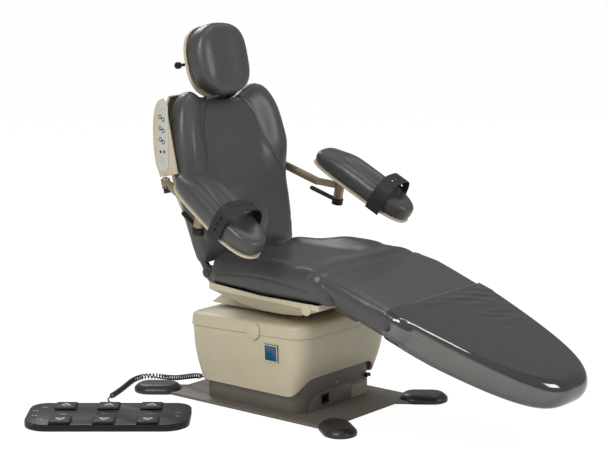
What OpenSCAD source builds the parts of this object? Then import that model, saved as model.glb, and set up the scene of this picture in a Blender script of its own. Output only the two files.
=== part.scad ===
// Surgery chair on a plate base: telescoping lift, turntable, tilting seat, reclining back with
// a leg section that follows it, jointed headrest, two jointed arm boards and a corded foot control.
// X points to the sitter's left, -Y to the feet, Z up; the origin lies under the middle of the plate.

/* [Base plate] */
// Half of the width between the plate's straight sides
plate_half_w = 242; // [228:1:256]
// Half of the length between the plate's edges that lie between the legs
plate_half_l = 336; // [322:1:350]
// Thickness of the steel plate
plate_t = 10; // [6:1:14]
// Width of each leg that ends in a cap
plate_leg_w = 96; // [80:1:104]
// Direction of the legs, from the X axis
plate_leg_turn = 53; // [48:1:58]
// Sideways place of a foot cap's middle
cap_x = 232; // [224:1:240]
// Lengthwise place of a foot cap's middle
cap_y = 384; // [374:1:394]
// Length of a foot cap
cap_l = 160; // [150:1:176]
// Width of a foot cap
cap_w = 108; // [106:1:118]
// Height of a foot cap
cap_h = 29; // [24:1:34]

/* [Skirt and shroud] */
// Half width of the fixed lower skirt
skirt_half = 200; // [190:1:201]
// Top of the fixed lower skirt
skirt_top = 272; // [262:1:276]
// Thickness of the skirt walls
skirt_wall = 3; // [2:0.5:4]
// Corner radius of the skirt at the front
skirt_round = 58; // [48:1:64]
// Corner radius of the skirt at the rear
skirt_round_rear = 34; // [28:1:44]
// Gap between two telescoping skirts
skirt_gap = 2; // [1:0.5:2.5]
// Height of the middle skirt
mid_skirt_h = 152; // [150:1:153]
// Lowest point of the middle skirt
mid_skirt_z = 133; // [130:1:136]
// Half width of the shroud at its lower edge
shroud_low_half = 216; // [214:1:222]
// Half width of the shroud where the upper band starts
shroud_band_half = 239; // [234:1:242]
// How far the upper band stands out
shroud_band_step = 3; // [1:0.5:4]
// Lower edge of the shroud at its sides and rear
shroud_low_z = 72; // [68:1:78]
// Rise of the lower edge across the front
shroud_front_rise = 54; // [44:1:60]
// Height of the line where the upper band starts
shroud_band_z = 262; // [254:1:270]
// Height of the shroud's shoulder at mid length
shroud_top_z = 303; // [300:1:304]
// Wall of the shroud
shroud_wall = 4; // [3:0.5:5]
// Corner radius of the shroud at its front
shroud_round = 62; // [56:1:70]
// Corner radius of the shroud at its rear
shroud_round_rear = 46; // [40:1:56]
// Fall of the deck from front to rear, as a slope
deck_slope_share = 0.034; // [0.02:0.002:0.04]

/* [Lift column] */
// Radius of the outer column
column_r = 70; // [66:1:76]
// Wall of each column tube
column_wall = 8; // [6:1:9]
// Radial sliding clearance between column tubes
column_fit = 0.05; // [0.02:0.01:0.1]
// Radius of the lift screw
screw_r = 12; // [10:1:14]
// Radius of the head plate that carries the turntable
head_plate_r = 148; // [140:1:152]
// Thickness of the head plate
head_plate_t = 10; // [8:1:12]
// Radius of the turntable's disc
turntable_r = 116; // [108:1:118]
// Radius of the turntable's spindle
spindle_r = 25; // [20:1:28]

/* [Seat] */
// Half width of the seat and of the leg section's root
seat_half = 268; // [262:1:272]
// Height of the cushion's flat underside
seat_floor_z = 402; // [400:1:404]
// Height of the seat's middle
seat_mid_z = 484; // [476:1:492]
// Height of the side bolsters
seat_bolster_z = 516; // [508:1:522]
// Rear end of the seat cushion
seat_rear_y = 148; // [140:1:150]
// Height of the tilt shaft
tilt_z = 380; // [377:1:383]
// Lengthwise place of the tilt shaft
tilt_y = 20; // [14:1:26]
// Radius of the tilt shaft
tilt_r = 11; // [9:1:12]
// Half width of the seat pan's rim
pan_half = 266; // [260:1:268]
// Wall of the seat pan
pan_wall = 4; // [3:0.5:5]

/* [Leg section] */
// Lengthwise place of the leg section's pivot
leg_y = -285; // [-290:1:-280]
// Height of the leg section's pivot
leg_z = 390; // [389:1:391]
// Slope of the leg section below level
leg_slope = 19.5; // [12:0.1:22]
// Distance of the leg section's top from its pivot, at the seat
leg_top = 119; // [117:1:121]
// Rise of the leg section's top further down
leg_crown = 11; // [0:1:14]
// Distance of the leg cushion's underside from the pivot's level
leg_low = 36; // [34:1:40]
// Length of the leg section from its pivot to the toe
leg_len = 826; // [780:1:860]
// Radius of the seat's rounded front end, about the leg pivot
knuckle_r = 114; // [110:1:114.5]
// Where the clear toe cover starts
toe_cover_at = 285; // [240:1:340]

/* [Back] */
// Lengthwise place of the recline shaft
back_y = 182; // [180:1:188]
// Height of the recline shaft
back_z = 430; // [428:1:434]
// Lean of the back behind upright
back_lean = 13; // [8:0.5:16]
// Radius of the recline shaft
back_r = 12; // [10:1:14]
// Half width of the back cushion
back_half = 270; // [262:1:272]
// Half width of the back cushion at its lower end
back_low_half = 230; // [222:1:238]
// Distance from the shaft to the cushion's lower edge
back_low = 42; // [40:1:50]
// Distance from the shaft to the notch under the headrest
back_notch = 548; // [540:1:550]
// Distance from the shaft to the top of the shoulder lobes
back_top = 600; // [590:1:612]
// Sideways place of the shoulder lobes' tops
lobe_x = 163; // [150:1:172]
// Half width of the back shell at shoulder height
shell_half = 241; // [236:1:243]
// Depth of the back shell behind the recline shaft
shell_depth = 72; // [69:1:78]
// Outer face of the control pods
pod_face_x = 282; // [281:1:286]
// Length of the control pods
pod_l = 254; // [240:1:258]
// Length of the keypad
keypad_l = 232; // [220:1:236]
// Width of the keypad
keypad_w = 46; // [42:1:50]

/* [Headrest] */
// Half width of the headrest
head_half = 122; // [112:1:126]
// Half height of the headrest
head_half_h = 121; // [112:1:122]
// Thickness of the headrest cushion
head_thick = 80; // [70:1:86]
// Distance from the recline shaft to the headrest's middle
head_up = 688; // [686:1:700]
// Width of the headrest bar
head_bar_w = 28; // [24:1:34]
// Thickness of the headrest bar
head_bar_t = 14; // [12:1:15]

/* [Arm boards] */
// Sideways place of an arm's rear pivot
arm_pivot_x = 288; // [287:1:292]
// Sideways place of an arm's post
post_x = 359; // [352:1:366]
// Radius of the arm's post
post_r = 16.5; // [15:0.5:18]
// Radius of the stem that turns in the post
stem_r = 9; // [8:0.5:10]
// Height of the arm bar
bar_tall = 26; // [22:1:27]
// Thickness of the arm bar
bar_thick = 14; // [12:1:16]
// Length of an arm board
board_l = 394; // [360:1:420]
// Width of an arm board
board_w = 148; // [128:1:150]
// Slope of an arm board against its post
board_slope = 20; // [15:1:25]
// Outward turn of an arm board
board_splay = 8; // [0:1:14]
// Width of the arm strap
strap_w = 54; // [40:1:60]
// Height of the strap's arch above the board's underside
strap_rise = 126; // [116:1:136]

/* [Foot control] */
// Length of the foot control
pedal_l = 522; // [500:1:560]
// Depth of the foot control
pedal_d = 256; // [250:1:270]
// Height of the foot control's case
pedal_h = 22; // [20:1:28]
// Length of a foot pad
pad_l = 70; // [60:1:76]
// Depth of a foot pad
pad_d = 74; // [64:1:80]
// Travel of a foot pad
pad_travel = 2.5; // [1.5:0.5:3]
// Thickness of the curly cord's wire
wire_d = 5; // [4:0.5:5.5]
// Radius of the curls, to the middle of the wire
curl_r = 7; // [6:0.5:7.5]
// Number of curls
curls = 48; // [30:1:52]

/* [Hidden] */
$fn = 48;

// One overrun serves every cut, and these gaps every seat
overrun = 1;
seat_gap = 0.3;
bore_gap = 0.05;
shell_paint = [0.80, 0.76, 0.66];
dark_paint = [0.27, 0.25, 0.23];
vinyl = [0.28, 0.28, 0.29];
rubber = [0.09, 0.09, 0.09];
bronze = [0.50, 0.45, 0.38];
steel = [0.62, 0.63, 0.65];

// Base: how far a leg's round end lies from the cap's middle, and the cap's bevels
leg_root = 150;
cap_fit = 0.2;
leg_end_in = 8;
leg_end = (cap_l - plate_leg_w) / 2 - leg_end_in;
cap_bevel = 4;
cap_rim = 15;
cap_crown = 20;

// Skirt front: panel, inlet, latch
panel_left = -148;
panel_right = 162;
panel_h = 56;
panel_t = 2;
panel_split_x = 72;
panel_groove = 1.2;
inlet_x = -65;
inlet_z = 41;
inlet_w = 39;
inlet_h = 33;
inlet_depth = 26;
inlet_lip = 1.5;
socket_w = 28;
socket_h = 20;
socket_depth = 16;
contact_w = 2;
contact_h = 6;
contact_pitch = 7;
latch_x = 158;
latch_z = 74;
latch_w = 20;
latch_h = 12;
latch_d = 12;

// Column: levels of the tubes and the drive beside them
mid_r = column_r - column_wall - column_fit;
inner_r = mid_r - column_wall - column_fit;
column_foot = plate_t;
outer_col_top = 280;
mid_col_z = 14;
mid_col_top = 288;
inner_col_z = 18;
screw_top = 276;
carrier_clear = 1.5;
carrier_z = outer_col_top + carrier_clear;
carrier_t = 5;
carrier_w = 40;
nut_h = 30;
deck_rise = 9;
deck_flat_z = shroud_top_z + deck_rise;
head_plate_z = deck_flat_z - shroud_wall - seat_gap - head_plate_t;
deck_hole_gap = 4;
deck_lap = 2;
deck_hole_r = turntable_r + deck_hole_gap;
deck_flat_r = head_plate_r + deck_lap;
motor_r = 36;
motor_h = 170;
gearbox = [84, 74, 52];
unit_size = [110, 50, 150];
unit_y = -130;

// Turntable, its bracket ears and the neck cover round them
disc_z = head_plate_z + head_plate_t + seat_gap;
disc_t = 17;
ear_t = 12;
ear_x = 104;
ear_r = 20;
ear_foot = 30;
neck_wall = 3;
neck_drop = 5.7;
neck_z = disc_z + disc_t - neck_drop;
neck_x = 150;
neck_front = -105;
neck_rear = 210;
neck_draw = 24;
neck_top_front = 333;
neck_top_rear = 343;
neck_ring_r = 100;
neck_window_x = 120;
neck_window = [-22, 66];
lug_x = 60;
lug_t = 12;
rod_tip_in = 34;
rod_tip_y = tilt_y - rod_tip_in;

// Seat pan and frame
pan_front = -334;
pan_rear = 118;
pan_low_half = 212;
pan_rim_h = 18;
rim_bend_y = -100;
rim_rise = 15;
pan_low = [[-296, 375], [-256, 356], [-217, 345], [-155, 340], [-62, 340], [17, 348], [78, 363], [110,
    379]];
pan_boss_r = 25;
pan_boss_t = 3;
plate6 = 6;
frame_drop = 0.5;
frame_top = seat_floor_z - frame_drop;
frame_front = -258;
frame_half = 230;
frame_rear = 112;
frame_ear_gap = 12;
frame_ear_x = ear_x + ear_t + frame_ear_gap;
frame_ear_t = 10;
frame_ear_r = 16;
hinge_x = 162;
hinge_t = 8;
hinge_r = 10;
hinge_pin_r = 6;
arm_plate_x = 196;
arm_plate_t = 10;
arm_plate_r = 19;
actuator_r = 14;
actuator_rod_r = 7;
actuator_z = 368;
actuator = [-210, -70];
drive_r = 24;
drive_half = 75;
shaft_half = 210;

// Seat cushion: heights along and across, rounding of its edges
seat_edge = 30;
bolster_x = 222;
bolster_w = 52;
seat_skin = 1;
seat_front_z = leg_z + knuckle_r - seat_skin;
seat_side_rear = 120;
seat_rise = [-140, -285];
seat_fall = [-90, 90];
seat_side_fall = 26;
bolster_spread = 1.6;
seat_flat_end = 60;
seat_rear_lip = 30;
seat_rear_round = 8;
seat_rear_in = 2;
seat_low_share = 0.6;
cross_shares = [-1, -0.985, -0.94, -0.87, -0.78, -0.66, -0.5, -0.25, 0, 0.25, 0.5, 0.66, 0.78, 0.87, 0.94,
    0.985, 1];

// Leg section: toe outline, its cushion, frame and clear cover
toe_start = 136;
toe_share = 1.27;
toe_round_share = 0.304;
leg_edge = 24;
leg_edge_low = 56;
leg_rise = [20, 110];
lip_at = 28;
lip_drop = 3;
knuckle_edge_share = 0.9;
knuckle_gap = 2;
rail_x = 150;
rail_t = 8;
rail_h = 16;
rail_end = 560;
rail_knee_out = 5;
rail_knee = knuckle_r + rail_knee_out;
cross_bar_at = [168, 350, 530];
cover_t = 1.2;
leg_bow = 0.2;
cover_off = 0.4;

// Back: planes behind the cushion, frame bars, shell stations, pods
cushion_rear = 26;
back_front = 34;
lobe_front = 34;
lobe_mid = 208;
lobe_wide = 98;
back_edge = 40;
rail_half = 180;
rail_w = 12;
rail_front = 27;
rail_rear = 38;
rail_top = 556;
hub_r = 22;
frame_cross = [[96, 40], [330, 30], [500, 50]];
guide_wall = 5;
guide_rear = 3.5;
guide_l = 110;
bar_y = 45;
arm_pivot_y = 31;
lug_t0 = 296;
lug_h = 6;
arm_pin_r = 8;
eye_r = 15;
pivot_cap_in = 3;
pod_low = 335;
pod_wall = 3;
pod_front_y = -18;
pod_plain_front_y = 22;
pod_inner_x = shell_half + seat_gap;
cheek_x = 273;
keypad_t = 1.5;
keypad_y = 12;
shell_wall = 4;
shell_notch = 118;
shell_slot = 36;
shell_low = 78;
shell_corner = 45;
shell_seat = 54;

// Headrest: bar, pivots, shell, knob
head_y = -41;
bar_low = 390;
low_pivot = 636;
top_pivot_y = 33;
top_pivot = head_up;
link_t = 6;
link_r = 11;
head_shell_t = 11;
head_ridge_x = 46;
head_groove = 9;
head_edge = 38;
head_square = 2.6;
head_shell_in = 1;
head_sides = 40;
knob_pin_r = 5;
knob_r = 11;
knob_l = 15;

// Arms, in the back's own leaning frame: bend of the bar, post, joint and lever
bar_bend = [319, -97, 228];
post_at = [post_x, -139, 146];
post_lean = 23;
post_low = 12;
post_h = 58;
bar_meets = 57;
joint_up = 80;
collar_low = -10;
collar_h = 21;
collar_r = 19.5;
lever_from = [352, -133, 156];
lever_to = [329, -62, 207];
lever_r = 7.5;
tongue_half = 5;
knuckle_eye_r = 7.5;
joint_pin_r = 4;
pan_up = 13;
pan_t = 7;
pan_inset = 3;
pad_up = pan_up + pan_t + seat_gap;
pad_h = 64;
pad_trough = 38;
pad_roll_x = 40;
pad_edge = 24;
pad_flat_share = 0.16;
pad_round_share = 0.5;
board_mid = -87;
board_front_share = 0.8;
board_rear_share = 0.5;
ear_half = 11.5;
strap_t = 3;
strap_left_at = -182;
strap_right_at = -160;
strap_foot = 12;
strap_foot_x = 58;
strap_gap = 3;
strap_low = pan_up - strap_t - seat_gap;
strap_square_share = 0.6;

// Foot control and its cord
pedal_at = [-586, 267];
pedal_turn = -51;
pedal_round_front = 78;
pedal_round_rear = 56;
pedal_base_h = 13;
pedal_wall = 3;
pad_pitch = 138;
pad_shift = -6;
pad_row_rear = 76;
pad_row_front = -84;
pad_stem = 40;
pad_hole_gap = 1;
pad_clear = 0.6;
pad_lift = pad_travel + pad_clear;
pad_h_top = 5;
pad_bevel = 5;
gland_at = [-150, 54];
gland_r = 15;
gland_t = 5;
relief_r = 9;
relief_tip_r = 6;
relief_l = 41;
lead_side = 8;
curl_rings = 8;
curl_sides = 6;
// Middle line of the curly cord, from the strain relief to its last curl
cord_route = [[-150, 246, 54], [-149, 262, 54], [-144, 295, 49], [-135, 342, 36], [-124, 400, 20],
    [-118, 450, 12], [-126, 500, 10], [-160, 526, 10], [-210, 520, 10], [-260, 498, 10],
    [-310, 474, 10], [-360, 452, 10], [-396, 438, 10], [-420, 428, 10]];
// Middle line of the plain lead, from the last curl into the foot control's rear edge
lead_route = [[-420, 428, 10], [-430, 423, 10], [-441, 414, 9.5], [-450, 402, 9], [-456, 388, 9],
    [-461, 374, 9.5], [-468, 362, 10], [-477, 355, 10], [-486, 348, 10]];

function smooth(a, b, v) = let (u = max(0, min(1, (v - a) / (b - a)))) u * u * (3 - 2 * u);
function bump(v, mid, w) = let (u = min(1, abs(v - mid) / w)) (1 - u * u) * (1 - u * u);
function power(v, e) = sign(v) * pow(abs(v), e);
function edge_drop(x, half, r) = let (c = max(0,
    (abs(x) - (half - r)) / r) * 0.94) r * (1 - sqrt(1 - c * c));

// A closed skin through equal rings of points, with a flat end on each
module skin(rings) {
    n = len(rings[0]);
    k = len(rings);
    sides = [for (i = [0 : k - 2]) for (j = [0 : n - 1]) each [
        [i * n + j, (i + 1) * n + j, i * n + (j + 1) % n],
        [i * n + (j + 1) % n, (i + 1) * n + j, (i + 1) * n + (j + 1) % n]]];
    ends = concat([for (j = [0 : floor((n - 3) / 2)]) [j, j + 1, n - 1 - j]],
        [for (j = [0 : floor((n - 4) / 2)]) [j + 1, n - 2 - j, n - 1 - j]]);
    far = [for (t = ends) [for (i = [2 : -1 : 0]) (k - 1) * n + t[i]]];
    polyhedron([for (r = rings) each r], concat(sides, ends, far));
}

// The same, with the last ring joined back to the first: a wall round a hollow
module wall_skin(rings) {
    n = len(rings[0]);
    k = len(rings);
    faces = [for (i = [0 : k - 1]) for (j = [0 : n - 1]) let (a = i * n, b = ((i + 1) % k) * n) each [
        [a + j, b + j, a + (j + 1) % n], [a + (j + 1) % n, b + j, b + (j + 1) % n]]];
    polyhedron([for (r = rings) each r], faces);
}

// Square with large corners at the front (-Y) and smaller ones at the rear
module soft_square(half, front, rear) {
    a = half - front;
    b = half - rear;
    for (s = [-1, 1]) {
        translate([s * a, -a]) circle(front);
        translate([s * b, b]) circle(rear);
    }
    polygon([[-half, -a], [-a, -half], [a, -half], [half, -a], [half, b], [b, half], [-b, half],
        [-half, b]]);
}

module both_ways() {
    for (a = [0, 1], b = [0, 1]) mirror([a, 0, 0]) mirror([0, b, 0]) children();
}

module both_sides() {
    children();
    mirror([1, 0, 0]) children();
}

module side(s) {
    if (s > 0) children();
    else mirror([1, 0, 0]) children();
}

module along_x(x0, x1) translate([x0, 0, 0]) rotate([90, 0, 90]) linear_extrude(x1 - x0) children();
module rod_x(x0, x1, r) translate([x0, 0, 0]) rotate([0, 90, 0]) cylinder(h = x1 - x0, r = r);

// Upright bar with round ends between two points, tall along the frame's own Z
module flat_bar(a, b, tall, thick) {
    d = b - a;
    l = norm(d);
    translate(a) rotate([0, -asin(d.z / l), atan2(d.y, d.x)]) {
        translate([0, -thick / 2, -tall / 2]) cube([l, thick, tall]);
        for (x = [0, l]) translate([x, 0, -tall / 2]) cylinder(h = tall, d = thick);
    }
}

// Turns the Z axis from one point towards another
module aim(a, b) {
    d = b - a;
    translate(a) rotate([0, acos(d.z / norm(d)), atan2(d.y, d.x)]) children();
}

// Base
module plate_leg(w) {
    translate([cap_x, cap_y]) rotate(plate_leg_turn) {
        translate([-leg_root, -w / 2]) square([leg_root + leg_end, w]);
        translate([leg_end, 0]) circle(d = w);
    }
}

module base_plate() color(dark_paint) linear_extrude(plate_t) {
    square([2 * plate_half_w, 2 * plate_half_l], center = true);
    both_ways() plate_leg(plate_leg_w);
}

module cap_block() {
    r = cap_w / 2;
    half = cap_l / 2 - r;
    translate([cap_x, cap_y, 0]) rotate(plate_leg_turn) hull() for (s = [-1, 1]) {
        translate([s * half, 0, 0]) cylinder(h = cap_rim, r = r - cap_bevel, $fn = 28);
        translate([s * half, 0, cap_bevel]) cylinder(h = cap_rim - 2 * cap_bevel, r = r, $fn = 28);
        translate([s * half, 0, 0]) cylinder(h = cap_h, r = r - cap_crown, $fn = 28);
    }
}

module foot_caps() color(rubber) both_ways() difference() {
    cap_block();
    translate([0, 0, -overrun]) linear_extrude(plate_t + cap_fit + overrun) {
        plate_leg(plate_leg_w + 2 * cap_fit);
        square([2 * (plate_half_w + cap_fit), 2 * (plate_half_l + cap_fit)], center = true);
    }
}

module skirt_ring(half, z, h, front) translate([0, 0, z]) linear_extrude(h) difference() {
    soft_square(half, front, skirt_round_rear);
    soft_square(half - skirt_wall, front - skirt_wall, skirt_round_rear - skirt_wall);
}

module lower_skirt() color(dark_paint) difference() {
    skirt_ring(skirt_half, plate_t, skirt_top - plate_t, skirt_round);
    translate([inlet_x - inlet_w / 2, -skirt_half - overrun, inlet_z - inlet_h / 2])
        cube([inlet_w, skirt_wall + 2 * overrun, inlet_h]);
    translate([gland_at.x, skirt_half + overrun, gland_at.y]) rotate([90, 0, 0])
        cylinder(h = skirt_wall + 2 * overrun, r = relief_r + overrun);
}

// Lower front cover with a round left end, split into two by a groove
module access_panel() color(dark_paint) difference() {
    translate([0, -skirt_half, plate_t + seat_gap]) rotate([90, 0, 0]) linear_extrude(panel_t) {
        translate([panel_left + panel_h, 0]) square([panel_right - panel_left - panel_h, panel_h]);
        intersection() {
            translate([panel_left + panel_h, 0]) circle(panel_h);
            translate([panel_left, 0]) square(panel_h);
        }
    }
    translate([panel_split_x, -skirt_half - panel_t - overrun, plate_t]) cube([panel_groove, overrun
        + panel_t / 2,
        panel_h + overrun]);
    translate([inlet_x - inlet_w / 2, -skirt_half - panel_t - overrun, inlet_z - inlet_h / 2])
        cube([inlet_w, panel_t + 2 * overrun, inlet_h]);
}

// Three-contact mains inlet: a flanged block with a socket and its blades
module power_inlet() color(rubber) translate([inlet_x, -skirt_half - panel_t - inlet_lip, inlet_z]) {
    difference() {
        translate([-inlet_w / 2 + bore_gap, 0, -inlet_h / 2 + bore_gap])
            cube([inlet_w - 2 * bore_gap, inlet_depth, inlet_h - 2 * bore_gap]);
        translate([-socket_w / 2, -overrun, -socket_h / 2]) cube([socket_w, socket_depth + overrun,
            socket_h]);
    }
    for (i = [-1 : 1])
        translate([i * contact_pitch - contact_w / 2, contact_h,
            (i == 0 ? contact_w : -contact_w) - contact_h / 2])
            cube([contact_w, socket_depth - contact_h + overrun, contact_h]);
}

module skirt_latch() color(rubber)
    translate([latch_x - latch_w / 2, -skirt_half - latch_d - seat_gap,
        latch_z - latch_h / 2]) difference() {
        cube([latch_w, latch_d, latch_h]);
        translate([latch_w / 4, -overrun, -overrun]) cube([latch_w / 2, latch_d / 2 + overrun,
            latch_h / 2]);
    }

// Lift column, its screw, and the drive and control boxes in the skirt
module tube(r, wall, z0, z1) translate([0, 0, z0]) difference() {
    cylinder(h = z1 - z0, r = r);
    translate([0, 0, -overrun]) cylinder(h = z1 - z0 + 2 * overrun, r = r - wall);
}

module outer_column() color(steel) tube(column_r, column_wall, column_foot, outer_col_top);
module mid_column() color(steel) tube(mid_r, column_wall, mid_col_z, mid_col_top);
module lift_screw() color(steel) translate([0, 0, column_foot]) cylinder(h = screw_top - column_foot,
    r = screw_r);

module inner_column() color(steel) difference() {
    union() {
        translate([0, 0, inner_col_z]) cylinder(h = head_plate_z - inner_col_z, r = inner_r);
        translate([0, 0, head_plate_z]) cylinder(h = head_plate_t, r = head_plate_r);
    }
    translate([0, 0, inner_col_z + nut_h]) cylinder(h = head_plate_z - inner_col_z - nut_h,
        r = inner_r - column_wall);
    translate([0, 0, inner_col_z - overrun]) cylinder(h = nut_h + 2 * overrun, r = screw_r + bore_gap);
    translate([0, 0, head_plate_z - overrun]) cylinder(h = head_plate_t + 2 * overrun, r = spindle_r
        + bore_gap);
}

module lift_motor() color(dark_paint) {
    translate([-gearbox.x / 2, column_r + seat_gap, plate_t]) cube(gearbox);
    translate([0, column_r + seat_gap + gearbox.y / 2, plate_t + gearbox.z]) cylinder(h = motor_h,
        r = motor_r);
}

module control_unit() color(rubber) translate([-unit_size.x / 2, unit_y - unit_size.y / 2,
    plate_t]) cube(unit_size);

// Middle skirt, carried by two crossed bars on top of the middle column
module mid_skirt() color(dark_paint) {
    half = skirt_half + skirt_gap + skirt_wall;
    skirt_ring(half, mid_skirt_z, mid_skirt_h, skirt_round + skirt_gap);
    difference() {
        for (a = [0, 90]) rotate(a) translate([-half + skirt_wall / 2, -carrier_w / 2, carrier_z])
            cube([2 * half - skirt_wall, carrier_w, carrier_t]);
        translate([0, 0, carrier_z - overrun]) cylinder(h = carrier_t + 2 * overrun, r = mid_r);
    }
}

// Shroud: rings of a rounded square whose lower edge rises across the front
shroud_corner_steps = 9;
shroud_side_steps = 5;
shroud_quarter = shroud_corner_steps + 1 + shroud_side_steps;
shroud_front_angles = [52, 34];
function corner_point(half, r, q, a) = let (
    sx = (q == 0 || q == 3) ? 1 : -1, sy = q < 2 ? 1 : -1, c = q < 2 ? shroud_round_rear : r)
    [sx * (half - c) + c * cos(a), sy * (half - c) + c * sin(a)];
function ring_point(half, r, i) = let (
    q = floor(i / shroud_quarter), k = i % shroud_quarter, a = 90 * q,
    u = max(0, k - shroud_corner_steps) / (shroud_side_steps + 1))
    corner_point(half, r, q, a + 90 * min(1, k / shroud_corner_steps)) * (1 - u)
        + corner_point(half, r, (q + 1) % 4, a + 90) * u;
ring_n = 4 * shroud_quarter;
function front_rise(p) = shroud_front_rise
    * smooth(shroud_front_angles[0], shroud_front_angles[1], p.y < 0 ? atan2(abs(p.x), -p.y) : 180);
function shroud_ring(half, z, rise, slope) = [for (i = [0 : ring_n - 1])
    let (p = ring_point(half, shroud_round, i)) [p.x, p.y - (p.y < 0 ? slope * front_swell : 0), z
        + rise * front_rise(p) - slope * deck_slope_share * p.y]];
function flat_ring(r, z) = [for (i = [0 : ring_n - 1])
    let (p = ring_point(shroud_band_half, shroud_round, i), a = atan2(p.y, p.x)) [r * cos(a),
        r * sin(a), z]];
belly_share = 0.86;
front_swell = 7;
shroud_mid_z = (shroud_low_z + shroud_band_z) / 2 + shroud_front_rise / 3;
shroud_mid_half = shroud_low_half + (shroud_band_half - shroud_low_half) * belly_share;
shoulder = 6;
module lift_shroud() color(shell_paint) {
    w = shroud_wall;
    translate([stop_at.x, stop_at.y, stop_at.z]) cylinder(h = stop_h, r = stop_r);
    wall_skin([
        shroud_ring(shroud_low_half, shroud_low_z, 1, 0),
        shroud_ring(shroud_mid_half, shroud_mid_z, 0, 0),
        shroud_ring(shroud_band_half, shroud_band_z, 0, 1),
        shroud_ring(shroud_band_half + shroud_band_step, shroud_band_z + shroud_band_step, 0, 1),
        shroud_ring(shroud_band_half + shroud_band_step / 2, shroud_top_z - shoulder, 0, 1),
        shroud_ring(shroud_band_half - shoulder / 2, shroud_top_z, 0, 1),
        shroud_ring(shroud_band_half - 2 * shoulder, shroud_top_z + shoulder / 2, 0, 1),
        flat_ring(deck_flat_r, deck_flat_z),
        flat_ring(deck_hole_r, deck_flat_z),
        flat_ring(deck_hole_r, deck_flat_z - w),
        flat_ring(deck_flat_r, deck_flat_z - w),
        shroud_ring(shroud_band_half - 2 * shoulder - w, shroud_top_z + shoulder / 2 - w, 0, 1),
        shroud_ring(shroud_band_half - w, shroud_band_z, 0, 1),
        shroud_ring(shroud_mid_half - w, shroud_mid_z, 0, 0),
        shroud_ring(shroud_low_half - w, shroud_low_z, 1, 0)]);
}

// Round peg on the deck that limits the turn
stop_at = [-104, 139, 304];
stop_h = 13;
stop_r = 8;
side_cap_y = -47;
side_cap_r = 28;
side_cap_t = 3;
side_cap_tail = 34;
badge_y = -120;
badge_z = 213;
badge = 57;
badge_t = 2;
function shroud_side(z) = shroud_mid_half + (shroud_band_half - shroud_mid_half) * (z - shroud_mid_z)
    / (shroud_band_z - shroud_mid_z);
side_draft = atan2(shroud_band_half - shroud_mid_half, shroud_band_z - shroud_mid_z);

// Teardrop caps over the shroud's side screws
module side_caps() color(shell_paint) both_sides()
    translate([shroud_band_half + shroud_band_step + seat_gap, side_cap_y, shroud_band_z + side_cap_r / 2])
        along_x(0, side_cap_t) {
            circle(side_cap_r);
            polygon([[-side_cap_r * cos(30), -side_cap_r / 2], [0, -side_cap_tail],
                [side_cap_r * cos(30), -side_cap_r / 2]]);
        }

// Bare square plate on the right side
module badge_plate() color([0.10, 0.34, 0.52])
    translate([-shroud_side(badge_z) - seat_gap, badge_y, badge_z]) rotate([0, -side_draft, 0])
        translate([-badge_t - seat_gap, -badge / 2, -badge / 2]) cube([badge_t, badge, badge]);

// Turntable: disc and spindle, two ears with the tilt shaft between, and the lug the actuator pushes
module turntable() color(steel) {
    translate([0, 0, disc_z]) cylinder(h = disc_t, r = turntable_r);
    translate([0, 0, head_plate_z - ear_r]) cylinder(h = disc_z - head_plate_z + ear_r + overrun,
        r = spindle_r);
    both_sides() along_x(ear_x - ear_t, ear_x) {
        translate([tilt_y, tilt_z]) circle(ear_r);
        polygon([[tilt_y - ear_foot, disc_z + disc_t - overrun], [tilt_y - ear_r, tilt_z], [tilt_y
            + ear_r, tilt_z],
            [tilt_y + ear_foot, disc_z + disc_t - overrun]]);
    }
    translate([0, tilt_y, tilt_z]) rod_x(-frame_ear_x - frame_ear_t, frame_ear_x + frame_ear_t, tilt_r);
    along_x(-lug_x - lug_t / 2, -lug_x + lug_t / 2) polygon([[rod_tip_y, disc_z + disc_t - overrun],
        [rod_tip_y, actuator_z + actuator_rod_r], [tilt_y, tilt_z], [tilt_y + ear_r, disc_z
            + disc_t - overrun]]);
}

module neck_block(inset, z0) hull() {
    translate([-neck_x + inset, neck_front + inset, z0])
        cube([2 * (neck_x - inset), neck_rear - neck_front - 2 * inset, overrun]);
    for (e = [[neck_front + inset, neck_top_front], [neck_rear - neck_draw - inset, neck_top_rear]])
        translate([-neck_x + neck_draw + inset, e[0], e[1] - overrun - inset])
            cube([2 * (neck_x - neck_draw - inset), overrun, overrun]);
}

module neck_cover() color(shell_paint) {
    difference() {
        neck_block(0, neck_z);
        neck_block(neck_wall, neck_z - overrun);
        translate([-neck_window_x, neck_window[0], neck_z]) cube([2 * neck_window_x,
            neck_window[1] - neck_window[0],
            neck_top_rear]);
        translate([0, 0, neck_z - overrun]) cylinder(h = disc_z + disc_t + seat_gap - neck_z + overrun,
            r = turntable_r + seat_gap);
    }
    translate([0, neck_front + neck_wall, disc_z + disc_t + seat_gap])
        translate([-neck_ring_r / 2, 0, 0]) cube([neck_ring_r, neck_ring_r / 2,
            neck_top_front - disc_z - disc_t - neck_wall]);
}

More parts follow.
